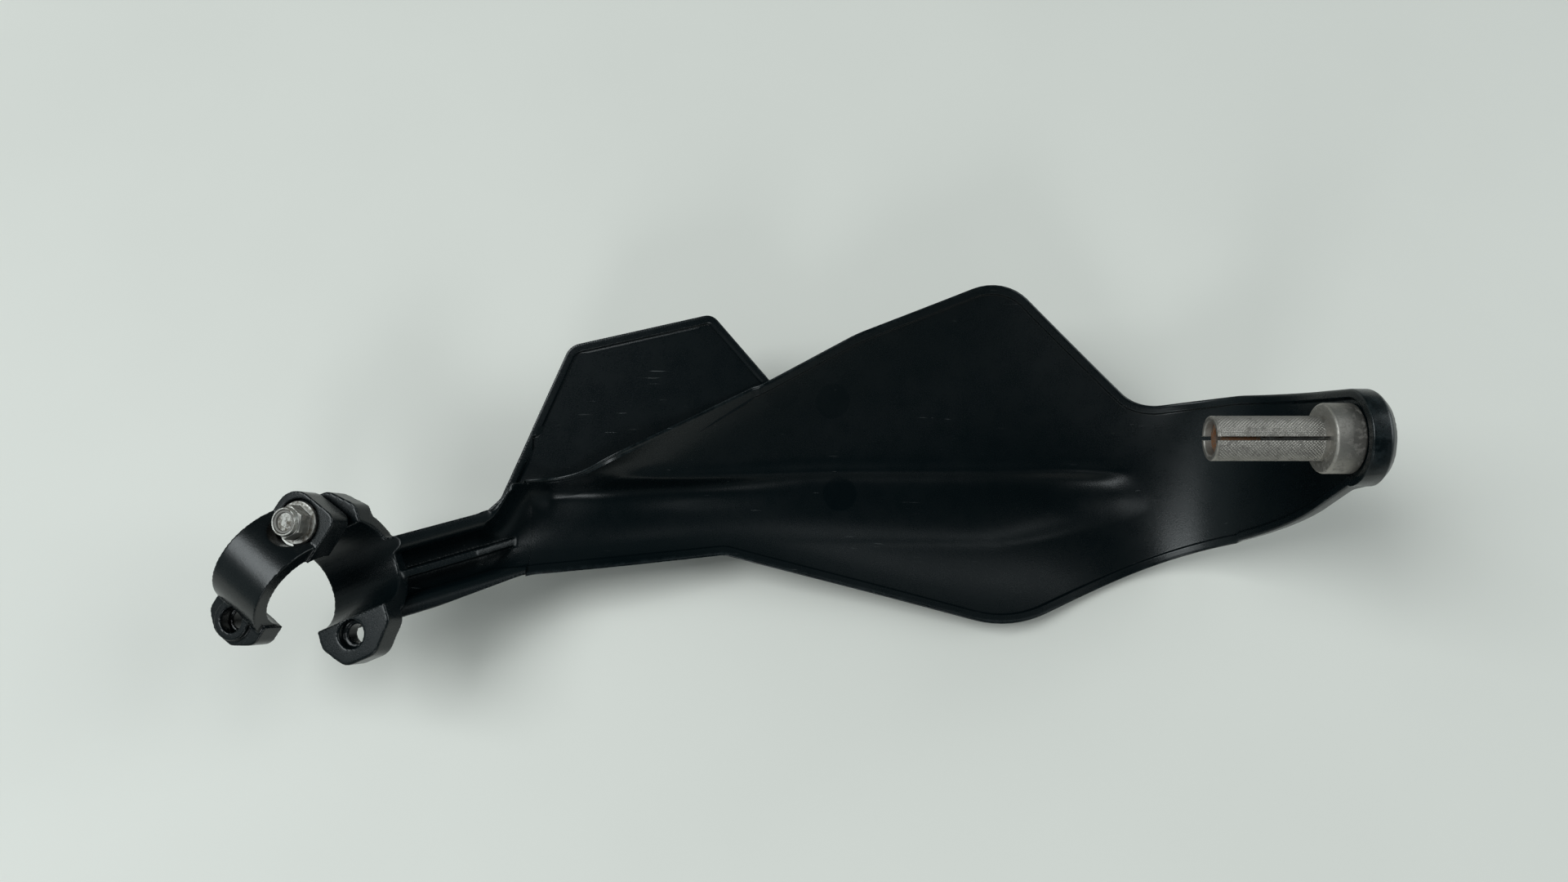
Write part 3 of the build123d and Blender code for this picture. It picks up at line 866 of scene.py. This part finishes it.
@dataclass
class Shield:
    """The scooped shell from the neck to the end wall, with bead, knuckle pocket and end boss."""

    rim: Rim
    turn_x: float = -46.4
    turn_height: float = -24.5
    turn_radius: float = 55.0
    end_radius: float = 15.4
    end_foot: float = -14.9  # lower side of the end wall at the bar's height
    end_flare: float = 46.1 / 120.0
    wall_start: float = -3.0  # right of this the end wall's sides are the rim
    boss_depth: float = 4.8
    boss_foot: Pair = (-24.0, -20.0)  # heights over which the boss comes up
    boss_side: Pair = (-16.2, -14.8)  # and places across, at its lower side
    boss_chamfer: float = 2.5
    seat_radius: float = 9.4
    seat_floor: float = 13.0
    seat_chamfer: float = 0.4
    screw_hole: float = 3.4
    cutter_reach: float = 1.0  # of the seat's cutter past both faces
    seat_slack: float = 0.2  # what lies this near the seat takes no rim wear
    pocket_span: Triple = (-172.0, -93.5, -31.0)  # left end, deepest place and right end
    pocket_upper: tuple[Pair, ...] = ((-240.0, -12.2), (-200.0, -11.8), (-152.0, -9.8), (-31.0, -9.8))
    pocket_lower: tuple[Pair, ...] = ((-129.0, -39.2), (-86.0, -39.5), (-44.0, -35.0))
    pocket_depth: Pair = (1.4, 3.2)  # along most of it, and towards the right end
    pocket_deepens: Pair = (-95.0, -55.0)
    pocket_bow: float = 0.6
    pocket_rise: float = 3.0  # how fast its floor rises past its edges
    pocket_evens: Pair = (-100.0, -55.0)  # its section turns from sloped to even here
    pocket_round: Pair = (0.9, 1.5)  # rounding of its edges, inner and outer face
    ridge_drop: float = 2.4  # from the upper edge to the ridge's top
    ridge_height: float = 1.2
    ridge_width: float = 2.6
    ridge_ends: tuple[Pair, Pair] = ((-242.0, -207.0), (-53.0, -27.0))
    groove_line: tuple[Pair, ...] = ((-262.0, -22.4), (-172.0, -19.9))
    groove_ends: tuple[Pair, Pair] = ((-258.0, -250.0), (-202.0, -150.0))
    groove_width: float = 4.5
    groove_depth: float = 2.2
    bare_crest: Pair = (-177.0, -175.0)  # left of this the side with the flap has no bead
    # spots of extra light scratches on the lower slope that stand for a dim lamp highlight: painted highlight
    scuff_and_highlight_spots: tuple[Triple, ...] = ((-141.0, -37.0, 4.0), (-131.0, -40.5, 3.5), (-117.0, -44.0, 4.0))
    first_row: int = 2
    rows: int = 300
    tip_rows: int = 36
    columns: int = 84
    rim_room: float = 2.6  # narrow rows have room for this many times the steps at one rim
    tip_turn: float = 0.49 * pi  # the last row lies just short of the top
    fine_steps: int = 4000
    halvings: int = 42
    rim_rounds: int = 8
    rim_guess: Pair = (0.3, 0.7)

    def __post_init__(self) -> None:
        """Work out the control points along the shell and the two outlines."""
        straight = [[(x, y, z) for y, z in points] for x, points in STRAIGHT_SECTIONS]
        turn = np.array([(angle, rise) for angle, rise, _ in TURNED_SECTIONS])
        local = np.array([points for _, _, points in TURNED_SECTIONS])
        angle, reach = np.radians(turn[:, :1]), self.turn_radius - local[..., 1]
        x = self.turn_x + reach * np.sin(angle)
        z = self.turn_height - reach * np.cos(angle) + turn[:, 1:]
        self.control = np.concatenate([np.array(straight), np.stack([x, local[..., 0], z], axis=-1)])
        step = np.linalg.norm(np.diff(self.control.mean(axis=1), axis=0), axis=1)
        self.knots = np.concatenate([[0.0], np.cumsum(step)])
        self.upper, self.lower = rounded_path(UPPER_OUTLINE), rounded_path(LOWER_OUTLINE)

    @staticmethod
    def bezier(control: Array, v: Array) -> Array:
        """Cubic Bezier sections.

        Args:
            control: array (rows, 4, 3) of each section's control points.
            v: array (rows, columns) of parameters from 0 to 1.

        Returns:
            An array (rows, columns, 3).
        """
        v = v[..., None]
        a, b, c, d = (control[:, None, k] for k in range(4))
        return (1 - v) ** 3 * a + 3 * v * (1 - v) ** 2 * b + 3 * v**2 * (1 - v) * c + v**3 * d

    def at_height(self, control: Array, y: Array) -> Array:
        """Points of each section at given places across it, found by halving the parameter's range.

        Args:
            control: array (rows, 4, 3) of each section's control points.
            y: array (rows, columns) of places across.

        Returns:
            An array (rows, columns, 3).
        """
        low, high = np.zeros_like(y), np.ones_like(y)
        for _ in range(self.halvings):
            middle = 0.5 * (low + high)
            short = self.bezier(control, middle)[..., 1] > y
            low, high = np.where(short, middle, low), np.where(short, high, middle)
        return self.bezier(control, 0.5 * (low + high))

    def limits(self, x: Array, z: Array) -> tuple[Array, Array]:
        """Upper and lower rim across the shield: the outline, and past the turn the end wall's sides.

        Args:
            x: places along the shield.
            z: heights there.

        Returns:
            The places across of the upper and the lower rim.
        """
        upper, lower = read(self.upper, x), read(self.lower, x)
        crown = np.sqrt(np.maximum(self.end_radius**2 - np.maximum(z, 0.0) ** 2, 1e-6))
        foot = np.where(z > 0.0, crown * self.end_foot / self.end_radius, self.end_foot + self.end_flare * z)
        past = x > self.wall_start
        return np.where(past, np.minimum(upper, crown), upper), np.where(past, np.maximum(lower, foot), lower)

    def rim_distance(self, points: Array) -> Array:
        """Distance in from the rim, measured square to it: the gap across times the cosine of its slope.

        Args:
            points: array (..., 3) of the inner face.

        Returns:
            An array of distances, 0 at the rim.
        """
        x, y, z = np.moveaxis(points, -1, 0)
        above, below = (
            sign * (read(path, x) - y) / np.sqrt(1.0 + slope(path, x) ** 2)
            for path, sign in ((self.upper, 1.0), (self.lower, -1.0))
        )
        foot = (y - self.end_foot - self.end_flare * z) / np.sqrt(1.0 + self.end_flare**2)
        sides = np.minimum(self.end_radius - y, foot)
        end = np.where(z > 0.0, self.end_radius - np.hypot(y, z), sides)
        past = np.minimum(end, below)
        return np.maximum(np.where(x > self.wall_start, past, np.minimum(above, below)), 0.0)

    def pocket(self, points: Array, grow: float) -> Array:
        """Height of the pocket's floor: it slopes down from its upper edge and comes up short of the lower.

        Across the pocket, with t from 1 at its upper edge to -1 at its lower one, the depth goes as
        (1 - t)(1 + t)^bow, and towards the right end as 1 - t squared. The left end fades as a square and
        the right end as a cube.

        Args:
            points: array (..., 3) of the face to sink the pocket into.
            grow: how far its edges are moved apart.

        Returns:
            An array of heights, above the face outside the pocket.
        """
        x, y, z = np.moveaxis(points, -1, 0)
        left, deepest, right = self.pocket_span
        upper, lower = read(self.pocket_upper, x) + grow, read(self.pocket_lower, x) - grow
        t = (2.0 * y - upper - lower) / (upper - lower)
        held = np.clip(t, -1.0, 1.0)
        sloped, even = (1.0 - held) * (1.0 + held) ** self.pocket_bow, 1.0 - held**2
        across = sloped + (even - sloped) * ease(*self.pocket_evens, x) - self.pocket_rise * np.abs(t - held)
        to_left, to_right = (x - deepest) / (deepest - left), (x - deepest) / (right - deepest)
        along = np.where(x < deepest, to_left**2, to_right**3)
        shallow, deep = self.pocket_depth
        return z - (shallow + (deep - shallow) * ease(*self.pocket_deepens, x)) * (across - along)

    def ridge(self, x: Array, y: Array) -> Array:
        """Height of the ridge under the pocket's upper edge: a bell curve across, fading at both ends."""
        across = y + self.ridge_drop - read(self.pocket_upper, x)
        return self.ridge_height * fade(*self.ridge_ends, x) * bell(across, self.ridge_width)

    def groove(self, x: Array, y: Array) -> Array:
        """Depth of the groove along the neck: a bell curve across, fading at both ends."""
        across = y - read(self.groove_line, x)
        return self.groove_depth * fade(*self.groove_ends, x) * bell(across, self.groove_width)

    def stations(self) -> Array:
        """Parameters of the rows: even to the bar's height, then closing in on the half-round top.

        Returns:
            A rising array of parameters.
        """
        start, last_turn = self.knots[self.first_row], self.knots[-4]
        dense = np.linspace(start, self.knots[-1], self.fine_steps)
        height = natural_spline(self.knots, self.control[:, 1, 2], dense)
        wall = dense > last_turn
        turn = np.linspace(0.0, self.tip_turn, self.tip_rows)
        tip = np.interp(self.end_radius * np.sin(turn), height[wall], dense[wall])
        return np.concatenate([np.linspace(start, tip[0], self.rows)[:-1], tip])

    def inner_face(self) -> Array:
        """Grid of the inner face at the bead's level: each section read between its two rims.

        Returns:
            An array (rows, columns, 3) in the mould's directions.
        """
        control = natural_spline(self.knots, self.control, self.stations())
        rims = self.bezier(control, np.tile(self.rim_guess, (len(control), 1)))
        for _ in range(self.rim_rounds):
            upper = self.limits(rims[:, 0, 0], rims[:, 0, 2])[0]
            lower = self.limits(rims[:, 1, 0], rims[:, 1, 2])[1]
            rims = self.at_height(control, np.stack([upper, lower], axis=-1))
        room = np.minimum(1.0, (upper - lower) / (self.rim_room * RIM_STEPS[-1]))
        steps = RIM_STEPS[None] * room[:, None]
        lean_upper, lean_lower = slope(self.upper, rims[:, 0, 0]), slope(self.lower, rims[:, 1, 0])
        first = upper[:, None] - steps * np.sqrt(1.0 + lean_upper[:, None] ** 2)
        last = lower[:, None] + steps * np.sqrt(1.0 + lean_lower[:, None] ** 2)
        t = np.linspace(0.0, 1.0, self.columns + 2)[None, 1:-1]
        between = first[:, -1:] * (1.0 - t) + last[:, -1:] * t
        return self.at_height(control, np.concatenate([first, between, last[:, ::-1]], axis=1))

    def boss(self, points: Array) -> Array:
        """Height of the boss on the end wall's outer side: flat, with a chamfer along the wall's rim.

        Args:
            points: array (..., 3) of the inner face.

        Returns:
            An array of heights, 0 away from the end wall.
        """
        x, y, z = np.moveaxis(points, -1, 0)
        on_end = (x > 0.0) * ease(*self.boss_foot, z) * ease(*self.boss_side, y)
        crown = self.end_radius - np.where(z > 0.0, np.hypot(y, z), np.abs(y))
        return on_end * (self.boss_depth - np.clip(self.boss_chamfer - crown, 0.0, self.boss_chamfer))

    def build(self) -> Piece:
        """Make the shell: the inner face lowered inside its bead, the outer a wall away, joined at the rims.

        Returns:
            The new object.
        """
        base = self.inner_face()
        out = unit(np.cross(np.gradient(base, axis=0), np.gradient(base, axis=1)))
        distance = self.rim_distance(base)
        fall = self.rim.fall(distance)
        x, y, _ = np.moveaxis(base, -1, 0)
        crest_side = read(self.upper, x) + read(self.lower, x) < 2.0 * y
        bare = crest_side * (1.0 - ease(*self.bare_crest, x))
        sunk = self.rim.bead_height * np.maximum(self.rim.inside(distance), bare)
        inner = base + out * (sunk + fall + self.groove(x, y) - self.ridge(x, y))[..., None]
        inner[..., 2] = soft_min(inner[..., 2], self.pocket(inner, 0.0), self.pocket_round[0])
        outer = base + out * (self.rim.wall - fall + self.boss(base))[..., None]
        upper, lower = read(self.upper, outer[..., 0]), read(self.lower, outer[..., 0])
        sides = np.clip(outer[..., 1], lower + fall, upper - fall)
        outer[..., 1] = np.where(x < self.wall_start, sides, outer[..., 1])
        outer[..., 2] = soft_min(outer[..., 2], self.pocket(outer, self.rim.wall), self.pocket_round[1])
        rows, half = base.shape[:2]
        points = np.concatenate([inner, outer[:, ::-1]], axis=1)
        to_rim = np.concatenate([distance, distance[:, ::-1]], axis=1)
        faces = [grid_faces(rows, 2 * half), ladder_caps(rows, half)]
        piece = new_piece("shield_shell", points, faces, to_rim)
        inner_side = np.concatenate([np.ones_like(x), np.zeros_like(x)], axis=1)
        store(piece, "inside", inner_side)
        # spots of extra light scratches on the inner face, a painted highlight on the lower slope
        store(piece, "scuff_and_highlight", inner_side * np.tile(scuff_and_highlight_strength(x, y, self.scuff_and_highlight_spots), 2))
        self.sink_seat(piece)
        return piece

    def sink_seat(self, piece: Piece) -> None:
        """Sink the washer's seat and the screw's hole: a stepped, chamfered cylinder on the bar's axis.

        Args:
            piece: the shell, which gets a new mesh.
        """
        inner = self.turn_x + self.turn_radius
        face = inner + self.rim.wall + self.boss_depth
        start, end = inner - self.cutter_reach, face + self.cutter_reach
        hole, floor, seat = self.screw_hole, self.seat_floor, self.seat_radius
        mouth = seat + self.seat_chamfer
        cutter = turned_ring("seat_cutter", np.array([
            (start, 0.0), (start, hole), (floor, hole), (floor, seat),
            (face - self.seat_chamfer, seat), (end, mouth + self.cutter_reach), (end, 0.0),
        ]))
        mend(cutter.data)
        cut = piece.modifiers.new("seat", "BOOLEAN")
        cut.operation, cut.solver, cut.object = "DIFFERENCE", "EXACT", cutter
        graph = bpy.context.evaluated_depsgraph_get()
        evaluated = piece.evaluated_get(graph)
        mesh = bpy.data.meshes.new_from_object(evaluated, preserve_all_data_layers=True, depsgraph=graph)
        piece.modifiers.clear()
        piece.data = mesh
        bpy.data.objects.remove(cutter)
        points = np.empty(3 * len(mesh.vertices))
        mesh.vertices.foreach_get("co", points)
        x, y, z = points.reshape(-1, 3).T / MM
        in_seat = (x > start - self.seat_slack) & (np.hypot(y, z) < mouth + self.seat_slack)
        rim, stored = np.empty(len(x), dtype=np.float32), mesh.attributes["rim"].data
        stored.foreach_get("value", rim)
        stored.foreach_set("value", np.where(in_seat, FAR_FROM_RIM, rim).astype(np.float32))
        mesh.set_sharp_from_angle(angle=SHARP)


@dataclass
class Flap:
    """The plate beside the crest, with its own bead on three sides."""

    rim: Rim
    height: float = -62.0
    tilt: float = radians(3.0)
    middle: Pair = (-215.0, 15.0)  # the rings close in on this place
    rim_share: float = 30.0  # length that the steps at the rim are a share of
    scuff_and_highlight_spots: tuple[Triple, ...] = ((-238.0, 14.0, 5.0), (-232.0, 2.0, 4.0), (-214.0, 22.0, 4.0))
    around: int = 420
    rings: int = 26
    ring_span: Pair = (0.3, 0.98)  # how far in the rings past the rim lie
    thinned: int = 3  # distances are taken to every so many points of the outline

    def build(self) -> Piece:
        """Make the plate: rings that close in on its middle, on its upper and its lower face.

        The bead and the rounded edge follow the distance from the sides that are seen. The root ends inside
        the crest's wall.

        Returns:
            The new object.
        """
        seen = resampled(rounded_path(FLAP_OUTLINE), self.around)
        ring = np.concatenate([seen[:-1], resampled(FLAP_ROOT, self.around // 2)[:-1]])
        inward = np.concatenate([RIM_STEPS / self.rim_share, np.linspace(*self.ring_span, self.rings)])
        flat = self.middle + (ring - self.middle)[None] * (1.0 - inward)[:, None, None]
        gap = np.min(np.linalg.norm(flat[:, :, None] - seen[None, None, :: self.thinned], axis=-1), axis=-1)
        fall = self.rim.fall(gap)
        top = -self.rim.bead_height * self.rim.inside(gap) - fall
        x, y = np.moveaxis(np.concatenate([flat[::-1], flat]), -1, 0)
        z = np.concatenate([top[::-1], -self.rim.wall + fall])
        across = y * cos(self.tilt) - z * sin(self.tilt)
        points = np.stack([x, across, self.height + y * sin(self.tilt) + z * cos(self.tilt)], axis=-1)
        rows, around = points.shape[:2]
        cloud = np.concatenate([points.reshape(-1, 3), points[:1].mean(axis=1), points[-1:].mean(axis=1)])
        this, pole, last = np.arange(around), np.full(around, rows * around), (rows - 1) * around
        onward = (this + 1) % around
        fans = ([pole, onward, this], [pole + 1, last + this, last + onward])
        caps = np.concatenate([np.stack(fan, axis=-1) for fan in fans])
        to_rim = np.concatenate([gap[::-1].ravel(), gap.ravel(), [FAR_FROM_RIM, FAR_FROM_RIM]])
        piece = new_piece("flap_plate", cloud, [grid_faces(rows, around), caps], to_rim)
        store(piece, "scuff_and_highlight", scuff_and_highlight_strength(cloud[:, 0], cloud[:, 1], self.scuff_and_highlight_spots))
        return piece


@dataclass
class Moulding:
    """The one-piece moulding: shield, flap, and the arm with its clamp half."""

    shield: Shield
    flap: Flap
    neck: float = -258.0  # the arm ends and the shield begins here
    arm_cell: float = 0.45
    arm_keep: float = 0.5

    def build(self, plastic: Material) -> None:
        """Build and dress its pieces, which stand for the CAD moulding.

        Args:
            plastic: their finish.
        """
        arm = softened_copy("guard_moulding", "clamp_arm", self.arm_cell, self.arm_keep, self.neck)
        for piece in (self.shield.build(), self.flap.build(), arm):
            dress(piece, plastic, Body.GUARD)
            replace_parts(piece, "guard_moulding")


# The bar-end sleeve


@dataclass
class BarEnd:
    """Knurled sleeve split down its length, its shoulder and the tapered nut inside it."""

    radius: float = 7.0
    length: float = 34.3
    slot: float = 1.2
    lip: float = 0.5  # rounding of the mouth
    mouth: float = 5.3
    bore: float = 4.3
    web: float = 7.3  # this far from the shoulder the bore narrows to the screw's
    web_step: float = 0.3
    screw_bore: float = 3.4
    shoulder_radius: float = 11.0
    shoulder: float = 9.5
    shoulder_edge: tuple[Pair, ...] = ((0.0, 0.8), (0.1, 0.5), (0.35, 0.2), (0.7, 0.03), (1.0, 0.0))
    nut_end: float = -20.1
    nut_profile: tuple[Pair, ...] = (
        (-32.1, 3.05), (-32.1, 4.7), (-32.0, 4.9), (-31.8, 5.0), (-20.3, 4.22), (-20.1, 4.0), (-20.1, 3.05),
    )
    knurl_pitch: float = 1.05
    knurl_depth: float = 0.28
    knurl_starts: int = 42
    knurl_groove: float = 0.62  # share of the pitch that a groove takes
    knurl_begins: Pair = (0.5, 1.2)  # from the mouth
    knurl_ends: Pair = (-2.2, -1.2)  # from the shoulder
    rows: int = 250
    columns: int = 150

    def knurl(self, x: Array, angle: Array) -> Array:
        """Depth of the knurl: two sets of crossing helical grooves of V shape, run out at both ends.

        Args:
            x: places along the sleeve.
            angle: turns about its axis.

        Returns:
            An array of depths.
        """
        turns = self.knurl_starts * angle / (2.0 * pi)
        depth = np.zeros_like(x)
        for sense in (1.0, -1.0):
            phase = x / self.knurl_pitch + sense * turns
            depth = np.maximum(depth, 1.0 - 2.0 * np.abs(phase - np.round(phase)) / self.knurl_groove)
        begins, ends = ease(*self.knurl_begins, x + self.length), 1.0 - ease(*self.knurl_ends, x)
        return self.knurl_depth * depth * begins * ends

    def half(self, name: str, sign: float) -> Piece:
        """One half of the sleeve: an arc carried along the axis, out over the knurl and back in the bore.

        Args:
            name: the piece's name.
            sign: 1 for the half towards the crest and -1 for the other.

        Returns:
            The new object.
        """
        x = np.linspace(-self.length, 0.0, self.rows)[:, None]
        t = np.linspace(0.0, 1.0, self.columns)[None]
        lip = edge_drop(x + self.length, self.lip)
        outer_edge, inner_edge = (np.arcsin(self.slot / 2 / radius) for radius in (self.radius, self.bore))
        swing, back = outer_edge + (pi - 2 * outer_edge) * t, inner_edge + (pi - 2 * inner_edge) * t[:, ::-1]
        outer = self.radius - lip - self.knurl(x + 0.0 * t, sign * swing)
        steps = [-self.length, self.nut_end, -self.web, -self.web + self.web_step]
        inner = np.interp(x, steps, [self.mouth, self.bore, self.bore, self.screw_bore]) + lip + 0.0 * back
        radius = np.concatenate([outer, inner], axis=1)
        angle = np.concatenate([swing, back], axis=1) + 0.0 * x
        points = np.stack([x + 0.0 * angle, sign * radius * np.sin(angle), radius * np.cos(angle)], axis=-1)
        faces = [grid_faces(self.rows, 2 * self.columns), ladder_caps(self.rows, self.columns)]
        return new_piece(name, points, faces)

    def flange(self) -> Array:
        """Profile of the shoulder: a ring with both of its edges rounded.

        Returns:
            An array (points, 2).
        """
        edge = np.array(self.shoulder_edge)
        near = np.stack([edge[:, 0], self.shoulder_radius - edge[:, 1]], axis=-1)
        far = np.stack([self.shoulder - near[::-1, 0], near[::-1, 1]], axis=-1)
        return np.concatenate([[(0.0, self.screw_bore)], near, far, [(self.shoulder, self.screw_bore)]])

    def build(self, metal: Material, rust: Material) -> None:
        """Build and dress the sleeve's halves, its shoulder and the tapered nut.

        Args:
            metal: the sleeve's finish.
            rust: the nut's finish.
        """
        halves = [self.half("sleeve_half_upper", 1.0), self.half("sleeve_half_lower", -1.0)]
        for piece in (*halves, turned_ring("sleeve_shoulder", self.flange())):
            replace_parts(dress(piece, metal, Body.GUARD), "bar_end_sleeve")
        nut = turned_ring("tapered_nut", np.array(self.nut_profile))
        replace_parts(dress(nut, rust, Body.GUARD), "expander_cone")


# Clamp fasteners and the swung cap


@dataclass
class ClampFasteners:
    """The cap, the flange nut that holds it and the other plated pieces."""

    cap_cell: float = 0.33
    bevel: float = 0.25
    bevel_angle: float = radians(35)
    weld: float = 0.01

    def soften(self, node: str, material: Material) -> None:
        """Give a CAD node its finish and small bevels on its edges.

        Args:
            node: the node's name.
            material: its finish.
        """
        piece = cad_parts[node]
        piece.data.materials.clear()
        piece.data.materials.append(material)
        piece.modifiers.new("merge", "WELD").merge_threshold = self.weld * MM
        bevel = piece.modifiers.new("bevel", "BEVEL")
        bevel.width, bevel.segments, bevel.harden_normals = self.bevel * MM, 2, True
        bevel.limit_method, bevel.angle_limit = "ANGLE", self.bevel_angle
        LOG.info("%s: CAD node with bevelled edges", node)

    def build(self, cap: Material, zinc: Material, ring: Material, steel: Material) -> None:
        """Build and dress the cap, and dress the nodes that stay.

        Args:
            cap: the cap's finish.
            zinc: finish of the nut and the bolt.
            ring: finish of the lock ring.
            steel: finish of the bar end's screw and washer.
        """
        piece = softened_copy("clamp_cap", "swung_cap", self.cap_cell)
        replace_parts(dress(piece, cap, Body.CAP), "clamp_cap")
        finishes = {
            "clamp_nut": zinc, "clamp_bolt": zinc, "nut_insert": ring,
            "bar_end_screw": steel, "bar_end_washer": steel,
        }
        for node, material in finishes.items():
            self.soften(node, material)


# The bench, the light and the camera


@dataclass(frozen=True)
class Lamp:
    """A square lamp of soft light, in metres and watts."""

    name: str
    place: Triple
    aim: Triple
    size: float
    power: float

    def build(self, tint: Triple) -> None:
        """Hang the lamp and turn it to its aim.

        Args:
            tint: its colour.
        """
        lamp = bpy.data.lights.new(self.name, "AREA")
        lamp.energy, lamp.size, lamp.shape, lamp.color = self.power, self.size, "SQUARE", tint
        holder = bpy.data.objects.new(self.name, lamp)
        turn = (Vector(self.aim) - Vector(self.place)).to_track_quat("-Z", "Y").to_matrix().to_4x4()
        holder.matrix_world = Matrix.Translation(self.place) @ turn
        bpy.context.scene.collection.objects.link(holder)


LAMPS = (
    Lamp("window", (2.00, 0.45, 1.20), (-0.20, 0.1, -0.05), 1.8, 32.0),
    Lamp("far_window", (-1.42, 0.08, 1.70), (-0.16, 0.0, -0.05), 1.2, 32.0),
    Lamp("ceiling_panel", (0.67, 0.79, 2.09), (-0.17, 0.0, -0.05), 0.6, 1.3),
    Lamp("front_window", (-0.40, -1.15, 0.62), (-0.10, 0.0, -0.05), 0.35, 3.5),
)


@dataclass
class Studio:
    """A pale bench, soft light from above and the camera at the photograph's angle."""

    bench: Triple = (0.715, 0.705, 0.655)
    bench_mottle: float = 0.97  # share of the tone in its darker spots
    bench_roughness: float = 0.5
    bench_gloss: float = 0.25
    bench_reach: float = 4.0  # metres to each side
    lamp_tint: Triple = (0.93, 1.0, 1.02)
    room_tint: tuple[float, float, float, float] = (0.82, 1.0, 1.02, 1.0)
    walls: float = 0.32
    ceiling: float = 0.04
    ceiling_edge: Pair = (0.55, 0.92)  # cosine from straight above the mould, walls to ceiling
    side_walls: Pair = (0.3, 0.9)  # how far aside the walls turn pale
    front_share: float = 0.3  # strength of the walls that aren't aside
    lens: float = 26.0
    sensor: float = 36.0
    stand: Triple = (-166.2, -0.81, 351.0)

    def floor(self, height: float) -> None:
        """Lay a wide bench under the object, faintly mottled and half glossy.

        Args:
            height: its height in metres.
        """
        mesh = bpy.data.meshes.new("bench")
        far = self.bench_reach
        corners = [(x, y, height) for x, y in ((-far, -far), (far, -far), (far, far), (-far, far))]
        mesh.from_pydata(corners, [], [(0, 1, 2, 3)])
        bench = bpy.data.objects.new("bench", mesh)
        bpy.context.scene.collection.objects.link(bench)
        material, graph = new_material("pale_bench")
        place = graph.add("ShaderNodeTexCoord").outputs["Object"]
        mottled = graph.span(graph.noise(place, scale=6.0, detail=4.0), 0.3, 0.7)
        darker = (*(self.bench_mottle * tone for tone in self.bench), 1.0)
        add_shader(graph, {
            "Base Color": graph.mix(mottled, (*self.bench, 1.0), darker),
            "Roughness": self.bench_roughness,
            "Specular IOR Level": self.bench_gloss,
        })
        mesh.materials.append(material)
        bench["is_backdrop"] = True

    def lights(self) -> None:
        """Three windows, a panel above, and a room with pale side walls and a dark ceiling."""
        for lamp in LAMPS:
            lamp.build(self.lamp_tint)
        world = bpy.data.worlds.new("room")
        world.use_nodes = True
        graph = Graph(world.node_tree)
        way = graph.add("ShaderNodeTexCoord").outputs["Generated"]
        up = graph.along(way, (0.0, -sin(LEAN), cos(LEAN)))
        aside = graph.math("ABSOLUTE", graph.along(way, (1.0, 0.0, 0.0)))
        level = graph.span(up, *self.ceiling_edge, self.walls, self.ceiling)
        background = world.node_tree.nodes["Background"]
        graph.feed(background.inputs["Color"], self.room_tint)
        pale = graph.span(aside, *self.side_walls, self.front_share, 1.0)
        graph.feed(background.inputs["Strength"], graph.times(level, pale))
        bpy.context.scene.world = world

    def camera(self) -> None:
        """Look straight into the mould, as the photograph does."""
        data = bpy.data.cameras.new("view")
        data.lens, data.sensor_width, data.clip_start = self.lens, self.sensor, 0.01
        holder = bpy.data.objects.new("view", data)
        holder.location = to_frame(np.array(self.stand))
        holder.rotation_euler = (LEAN, 0.0, 0.0)
        bpy.context.scene.collection.objects.link(holder)
        bpy.context.scene.camera = holder


def main() -> None:
    """Build the dressed hand guard on its frame and lay the bench just under it."""
    logging.basicConfig(level=logging.INFO, format="%(name)s: %(message)s")
    cad = [list(corner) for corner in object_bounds()]
    bpy.context.scene.view_settings.view_transform = "Standard"
    effects, rim = Effects(), Rim()
    Moulding(Shield(rim), Flap(rim)).build(SHIELD_PLASTIC.build(effects))
    BarEnd().build(OXIDISED_ALUMINIUM.build(effects), RUSTY_STEEL.build(effects))
    finishes = (CAP_PLASTIC, DIRTY_ZINC, LOCK_RING, PLATED_STEEL)
    ClampFasteners().build(*(finish.build(effects) for finish in finishes))
    studio = Studio()
    studio.floor(cad[0][2] - BENCH_GAP)
    studio.lights()
    studio.camera()
    bpy.context.view_layer.update()


if __name__ == "__main__":
    main()
